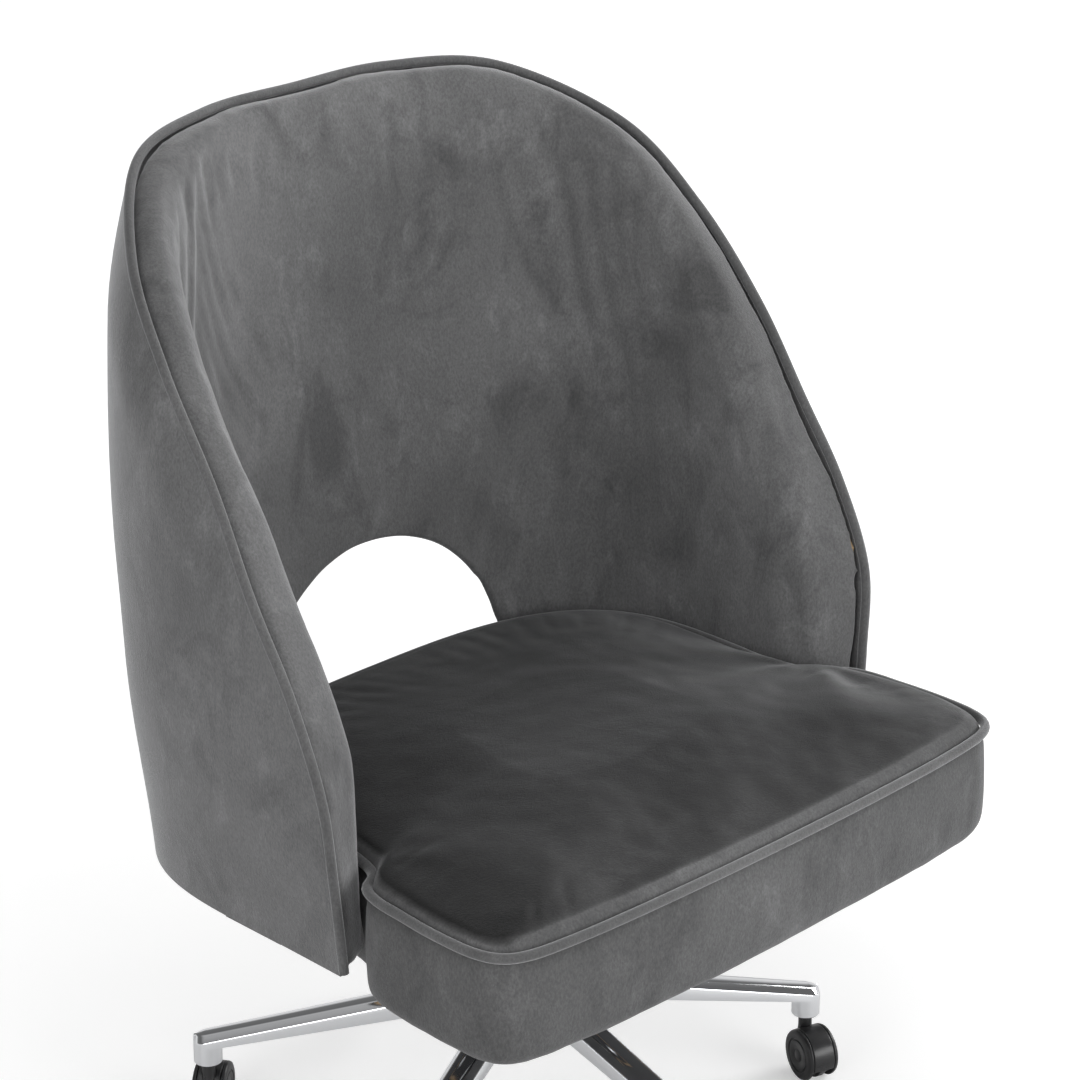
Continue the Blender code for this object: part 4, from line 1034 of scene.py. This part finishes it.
def build_base():
    """Hub, five legs and their bosses in one casting, bored for the tube and the caster stems."""
    hub = rounded([(0.0, 0.134), (0.0325, 0.134), (0.0305, 0.181), (0.0, 0.181)], 0.0022, 5)
    base = lathe_mesh("star_base", hub, 96)
    leg = leg_mesh()
    boss_shape = rounded([(0.0, 0.0612), (0.0135, 0.0612), (0.0135, 0.0820), (0.0, 0.0820)], 0.0010, 4)
    boss = lathe_mesh("boss", boss_shape, 64)
    bore = rod_mesh("bore", 0.0057, 0.0400, 0.0805, 40)
    tube_bore = rod_mesh("tube_bore", 0.0253, 0.0, 0.30, 96)
    tools = []
    for index in range(LEG_COUNT):
        turn = Matrix.Rotation(FIRST_LEG + LEG_PITCH * index, 4, "Z")
        out = Matrix.Translation((STEM_REACH, 0.0, 0.0))
        tools += [(moved(leg, turn), "UNION"), (moved(boss, turn @ out), "UNION")]
        tools.append((moved(bore, turn @ out), "DIFFERENCE"))
    tools.append((tube_bore, "DIFFERENCE"))
    base = boolean_mesh(base, tools)
    base.transform(Matrix.Translation(COLUMN))
    add_piece("chrome_star_base", base, CHROME, "polished_chrome", "base", "star_base")


# ---- casters
def wheel_mesh():
    """A wheel with a domed face, two ring grooves and a rounded tread; its axle is Z, its face up."""
    profile = [(0.0, 0.0160), (0.0050, 0.0160), (0.0056, 0.0153), (0.0066, 0.0153), (0.0072, 0.0160)]
    profile += [(0.0148, 0.0160), (0.0154, 0.0151), (0.0166, 0.0151), (0.0172, 0.0160), (0.0205, 0.0160)]
    profile += [(0.0225, 0.0157), (0.0240, 0.0150), (0.0247, 0.0138)]
    profile += [(WHEEL_RADIUS, 0.0125), (WHEEL_RADIUS, 0.0120), (0.0247, 0.0116), (0.0215, 0.0116)]
    profile += [(0.0215, 0.0040), (0.0031, 0.0040), (0.0031, 0.0128), (0.0, 0.0128)]
    return lathe_mesh("wheel", profile, 80, smooth_deg=50.0)


def fender_mesh():
    """The hood's curved fender across the wheels, as a rounded band."""
    bm = bmesh.new()
    first, last, steps = math.radians(-28.0), math.radians(200.0), 44
    half, inner, outer = 0.0110, 0.0225, 0.0251
    section = rounded([(half, inner), (half, outer), (-half, outer), (-half, inner)], 0.0009, 3, closed=True)
    loops = []
    for i in range(steps + 1):
        angle = blend(first, last, i / steps)
        c, s = math.cos(angle), math.sin(angle)
        loops.append([bm.verts.new((x, r * c - CASTER_TRAIL, r * s + AXLE_Z)) for x, r in section])
    for near, far in zip(loops, loops[1:]):
        bridge(bm, near, far)
    bm.faces.new(loops[0])
    bm.faces.new(loops[-1])
    return mesh_from(bm, "fender")


def hood_mesh():
    """The caster's fender with the web between its wheels and the neck that holds the stem."""
    at_axle = Matrix.Translation((0.0, -CASTER_TRAIL, AXLE_Z)) @ Matrix.Rotation(math.pi / 2, 4, "Y")
    web_shape = [(0.0, -0.0032), (0.0239, -0.0032), (0.0239, 0.0032), (0.0, 0.0032)]
    web = moved(lathe_mesh("web", rounded(web_shape, 0.0006, 3), 72), at_axle)
    neck_shape = [(0.0, 0.0365), (0.0078, 0.0365), (0.0065, 0.0470), (0.0065, 0.0606), (0.0, 0.0606)]
    neck = lathe_mesh("neck", rounded(neck_shape, 0.0008, 3), 48)
    room = moved(rod_mesh("room", 0.0223, -0.02, 0.02, 72), at_axle)
    well = rod_mesh("well", 0.0044, 0.0460, 0.08, 32)
    hole = moved(rod_mesh("hole", 0.0032, -0.02, 0.02, 32), at_axle)
    tools = [(neck, "UNION"), (room, "DIFFERENCE"), (web, "UNION")]
    tools += [(well, "DIFFERENCE"), (hole, "DIFFERENCE")]
    return boolean_mesh(fender_mesh(), tools)


def build_casters():
    hood, wheel = hood_mesh(), wheel_mesh()
    stem_shape = [(0.0, 0.0800), (0.0048, 0.0800), (0.0055, 0.0790), (0.0055, 0.0612), (0.0042, 0.0612)]
    stem = lathe_mesh("stem", stem_shape + [(0.0042, 0.0465), (0.0, 0.0465)], 40)
    axle_shape = rounded([(0.0, -0.0124), (0.0030, -0.0124), (0.0030, 0.0124), (0.0, 0.0124)], 0.0004, 2)
    axle = lathe_mesh("axle", axle_shape, 36)
    to_axle = Matrix.Translation((0.0, -CASTER_TRAIL, AXLE_Z))
    for index in range(LEG_COUNT):
        angle = FIRST_LEG + LEG_PITCH * index
        spot = COLUMN + STEM_REACH * Vector((math.cos(angle), math.sin(angle), 0.0))
        place = Matrix.Translation(spot) @ Matrix.Rotation(angle, 4, "Z")
        body = f"caster_{index + 1}"
        across = place @ to_axle @ Matrix.Rotation(math.pi / 2, 4, "Y")
        add_piece(f"{body}_fork", moved(hood, place), HOOD_PLASTIC, "caster_plastic", body, f"{body}_hood")
        add_piece(f"{body}_pin", moved(stem, place), STEEL, "plain_steel", body, f"{body}_stem")
        add_piece(f"{body}_rod", moved(axle, across), STEEL, "plain_steel", body, f"{body}_axle")
        for side, word in ((1, "outer"), (-1, "inner")):
            node = f"{body}_{word}_wheel"
            flip = Matrix.Rotation(side * math.pi / 2, 4, "Y")
            mesh = moved(wheel, place @ to_axle @ flip)
            add_piece(f"{body}_{word}_tyre", mesh, WHEEL_PLASTIC, "wheel_plastic", node, node)


# ---- gas lift and mechanism
def build_lift():
    """The turned parts of the column that show."""

    def turned_piece(name, profile, closed, material, slot, body, node):
        mesh = lathe_mesh(name, profile, 96, closed)
        mesh.transform(Matrix.Translation(COLUMN))
        add_piece(name, mesh, material, slot, body, node)

    tube = [(0.0230, 0.2620), (0.0240, 0.2620), (0.0247, 0.2617), (0.0250, 0.2610), (0.0250, 0.1248)]
    tube += [(0.0247, 0.1240), (0.0054, 0.1240), (0.0054, 0.1270), (0.0230, 0.1270)]
    turned_piece("lift_tube", tube, True, BLACK_STEEL, "black_steel", "base", "column_outer_tube")
    bush = [(0.0141, 0.2640), (0.0238, 0.2640), (0.0245, 0.2636), (0.0245, 0.2623), (0.0227, 0.2623)]
    bush += [(0.0227, 0.2020), (0.0141, 0.2020)]
    turned_piece("lift_bush", bush, True, BLACK_PLASTIC, "black_plastic", "base", "column_guide_bush")
    cylinder = [(0.0041, 0.2985), (0.0124, 0.2985), (0.0130, 0.2980), (0.0140, 0.2865), (0.0140, 0.1425)]
    cylinder += [(0.0136, 0.1420), (0.0053, 0.1420), (0.0053, 0.1480), (0.0115, 0.1480), (0.0115, 0.2785)]
    cylinder.append((0.0041, 0.2785))
    turned_piece("lift_cylinder", cylinder, True, CHROME, "polished_chrome", "lift", "gas_cylinder")


def build_spring():
    """The tension spring, a coil of five turns."""
    low, high = 0.2460 + 0.0022, 0.2680 - 0.0022
    turns, steps = 5, 240
    points = []
    for i in range(steps + 1):
        t = i / steps
        angle = 2.0 * math.pi * turns * t
        rise = blend(low, high, t)
        points.append(COLUMN + Vector((0.014 * math.cos(angle), 0.014 * math.sin(angle) - 0.085, rise)))
    spring = tube_mesh("coil_spring", points, 0.0016, 12)
    item = add_piece("coil_spring", spring, SPRING, "spring_steel", "lift", "tension_spring")
    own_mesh(item)


def build_knob():
    """A lobed hand knob on the tension bolt."""
    bm = bmesh.new()
    steps = 144
    profile = [(0.30, 0.2310), (0.80, 0.2310), (0.88, 0.2318), (0.91, 0.2332)]
    profile += [(0.985, 0.2440), (0.97, 0.2454), (0.90, 0.2460)]
    rings = []
    for share, z in profile:
        ring = []
        for i in range(steps):
            angle = 2.0 * math.pi * i / steps
            lobes = 1.0 + 0.045 * math.cos(12.0 * angle) * smooth_step(0.6, 0.9, share)
            reach = 0.021 * share * lobes
            ring.append(bm.verts.new((reach * math.cos(angle), reach * math.sin(angle), z)))
        rings.append(ring)
    for low, high in zip(rings, rings[1:]):
        bridge(bm, low, high)
    bm.faces.new(rings[0])
    bm.faces.new(rings[-1])
    knob = mesh_from(bm, "knob", 40.0)
    bore = rod_mesh("knob_bore", 0.0043, 0.2340, 0.2600, 40)
    knob = boolean_mesh(knob, [(bore, "DIFFERENCE")])
    knob.transform(Matrix.Translation(COLUMN + Vector((0.0, -0.085, 0.0))))
    add_piece("tension_hand_knob", knob, BLACK_PLASTIC, "black_plastic", "knob", "tension_knob")


def build_lever():
    """The bent height lever and its waisted paddle."""
    route = ((0.007, 0.0), (-0.020, 0.0), (-0.050, 0.0), (-0.062, -0.002))
    route += ((-0.082, -0.014), (-0.094, -0.016), (-0.150, -0.016))
    points = []
    for i in range(len(route) - 1):
        p0, p1, p2, p3 = (Vector((*route[min(max(i + k - 1, 0), len(route) - 1)], 0.0)) for k in range(4))
        for step in range(8):
            f = step / 8
            p = spline_point(p0, p1, p2, p3, f)
            points.append(COLUMN + Vector((p.x, 0.0, 0.306 + p.y)))
    points.append(COLUMN + Vector((route[-1][0], 0.0, 0.306 + route[-1][1])))
    rod = tube_mesh("rod", points, 0.0022, 20)
    add_piece("lift_lever", rod, STEEL, "plain_steel", "lever", "height_lever")
    grip = box_mesh("grip", (-0.190, -0.011, 0.2855), (-0.118, 0.011, 0.2945), 0.0036, 5)
    bm = bmesh.new()
    bm.from_mesh(grip)
    bmesh.ops.subdivide_edges(bm, edges=bm.edges[:], cuts=2, use_grid_fill=True)
    for vert in bm.verts:
        along = (vert.co.x + 0.190) / 0.072
        waist = 1.0 - 0.22 * smooth_step(0.45, 1.0, along)
        vert.co.y *= waist
        vert.co.z = 0.290 + (vert.co.z - 0.290) * (1.0 - 0.12 * math.sin(math.pi * along))
    grip = mesh_from(bm, "grip", 60.0)
    grip.transform(Matrix.Translation(COLUMN))
    add_piece("lever_paddle", grip, BLACK_PLASTIC, "black_plastic", "lever", "lever_grip")


def build_underside():
    """Under-cloth with a slight sag, its staples, and the screws through the shell straps."""
    loop = inset_loop(seat_loop(0.010), 0.028)
    low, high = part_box("dust_cover")
    bm = bmesh.new()
    rings = []
    for share, drop in ((1.0, 0.0), (0.985, 0.0003), (0.94, 0.0008), (0.86, 0.0012), (0.70, 0.0012)):
        z = high.z - 0.0002 - drop
        places = [COLUMN + Vector((p.x * share, (p.y + 0.05) * share - 0.05, z)) for p in loop]
        rings.append([bm.verts.new(place) for place in places])
    for outer, inner in zip(rings, rings[1:]):
        bridge(bm, outer, inner)
    bm.faces.new(rings[-1])
    mesh = mesh_from(bm, "under_cloth")
    plate_room = box_mesh("plate_room", (-0.099, -0.109, 0.28), (0.099, 0.089, 0.36))
    plate_room.transform(Matrix.Translation(COLUMN))
    mesh = with_modifiers(mesh, [("SOLIDIFY", {"thickness": 0.0007, "offset": 0.0})])
    mesh = boolean_mesh(mesh, [(plate_room, "DIFFERENCE")])
    item = add_piece("under_cloth", mesh, LINING, "black_lining", "tilt", "dust_cover")
    staples = []
    edge = inset_loop(seat_loop(0.030), 0.034)
    for i, point in enumerate(edge):
        along = (edge[(i + 1) % len(edge)] - point).normalized()
        turn = Matrix.Rotation(math.atan2(along.y, along.x), 4, "Z")
        staple = box_mesh("staple", (-0.0050, -0.0006, 0.0), (0.0050, 0.0006, 0.0010), 0.0003, 1)
        place = COLUMN + Vector((point.x, point.y, low.z - 0.0004))
        staples.append(moved(staple, Matrix.Translation(place) @ turn))
    add_piece("under_cloth_staples", joined("staples", staples), STEEL, "plain_steel", "tilt")
    head = rounded([(0.0, 0.0), (0.0055, 0.0), (0.0050, -0.0026), (0.0028, -0.0032)], 0.0012, 3)
    head += [(0.0022, -0.0032), (0.0022, -0.0014), (0.0, -0.0014)]
    screw = lathe_mesh("screw", head, 32)
    places = []
    strap_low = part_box("left_shell_strap")[0].z
    for sign in (-1.0, 1.0):
        for x in (0.212, 0.240):
            for y in (-0.020, 0.020):
                places.append((sign * x, y, strap_low))
        places += [(sign * 0.022, 0.140, strap_low), (sign * 0.022, 0.165, strap_low)]
    screws = [moved(screw, Matrix.Translation(COLUMN + Vector(place))) for place in places]
    add_piece("strap_screws", joined("screws", screws), STEEL, "plain_steel", "tilt")


def dress_cad_nodes():
    """Procedural finishes for the CAD parts, by material slot."""
    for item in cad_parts.values():
        for index, material in enumerate(item.data.materials):
            name = material.name.split(".")[0] if material else ""
            item.data.materials[index] = CAD_LOOKS.get(name, BLACK_STEEL)


# ---- stage, light and camera
def build_stage():
    """A pale floor that shows as plain white and reflects as soft grey."""
    bpy.ops.mesh.primitive_plane_add(size=60.0, location=(0.0, 0.0, 0.0))
    floor = bpy.context.object
    floor.name = "studio_floor"
    n = Nodes("pale_floor")
    n.colour(n.ramp(n.noise(3.0, 2.0), ((0.3, (0.80, 0.80, 0.80)), (0.7, (0.82, 0.82, 0.82)))))
    n.constants(Roughness=0.5, Specular_IOR_Level=0.15)
    n.shader.inputs["Emission Color"].default_value = (1.0, 1.0, 1.0, 1.0)
    seen = n.add("ShaderNodeLightPath").outputs["Is Camera Ray"]
    away = n.add("ShaderNodeVectorMath", operation="LENGTH")
    n.join(n.place, away.inputs[0])
    glow = n.add("ShaderNodeMath", operation="MULTIPLY")
    n.join(seen, glow.inputs[0])
    n.join(n.span(away.outputs["Value"], 0.5, 2.2, 0.37, 0.70), glow.inputs[1])
    n.join(glow.outputs[0], n.shader.inputs["Emission Strength"])
    floor.data.materials.append(n.material)


def build_world():
    """Studio surround: bright near the horizon and overhead, with a dark band between."""
    world = bpy.data.worlds.new("studio")
    bpy.context.scene.world = world
    world.use_nodes = True
    tree = world.node_tree
    back = tree.nodes["Background"]
    place = tree.nodes.new("ShaderNodeTexCoord")
    split = tree.nodes.new("ShaderNodeSeparateXYZ")
    ramp = tree.nodes.new("ShaderNodeValToRGB")
    tree.links.new(place.outputs["Generated"], split.inputs[0])
    tree.links.new(split.outputs["Z"], ramp.inputs["Fac"])
    tree.links.new(ramp.outputs["Color"], back.inputs["Color"])
    stops = ((0.00, 1.00), (0.18, 0.85), (0.30, 0.20), (0.55, 0.16), (0.72, 0.45), (0.85, 0.60))
    elements = ramp.color_ramp.elements
    while len(elements) < len(stops):
        elements.new(0.5)
    for element, (position, value) in zip(elements, stops):
        element.position = position
        element.color = (value, value, value, 1.0)
    back.inputs["Strength"].default_value = 0.80


def add_light(name, location, target, size, energy):
    data = bpy.data.lights.new(name, "AREA")
    data.shape = "RECTANGLE"
    data.size, data.size_y = size
    data.energy = energy
    lamp = linked(name, data)
    lamp.location = location
    lamp.rotation_mode = "QUATERNION"
    lamp.rotation_quaternion = (Vector(target) - Vector(location)).to_track_quat("-Z", "Y")


def build_lights():
    add_light("left", (-3.2, -0.6, 1.5), (0.0, 0.0, 0.55), (1.8, 1.6), 34.0)
    add_light("front", (0.9, -3.4, 1.2), (0.0, 0.0, 0.50), (2.2, 1.4), 55.0)
    add_light("right", (3.2, -0.9, 1.5), (0.0, 0.0, 0.60), (1.4, 1.4), 66.0)
    add_light("above", (-1.0, -0.6, 3.0), (0.0, 0.0, 0.4), (2.6, 2.2), 26.0)


def build_camera():
    data = bpy.data.cameras.new("photo_camera")
    data.lens = 122.1
    data.sensor_width = 36.0
    data.clip_start, data.clip_end = 0.1, 100.0
    camera = linked("photo_camera", data)
    right = Vector((0.7079, -0.7063, 0.0)).normalized()
    back = Vector((-0.6513, -0.6528, 0.3869)).normalized()
    up = back.cross(right).normalized()
    turn = Matrix((right, up, back)).transposed().to_4x4()
    camera.matrix_world = Matrix.Translation(COLUMN + Vector((-2.0536, -2.0776, 1.8334))) @ turn
    bpy.context.scene.camera = camera


bpy.context.scene.view_settings.view_transform = "Standard"
build_camera()
build_stage()
build_world()
build_lights()
dress_cad_nodes()
build_back()
build_seat()
build_base()
build_casters()
build_lift()
build_spring()
build_knob()
build_lever()
build_underside()
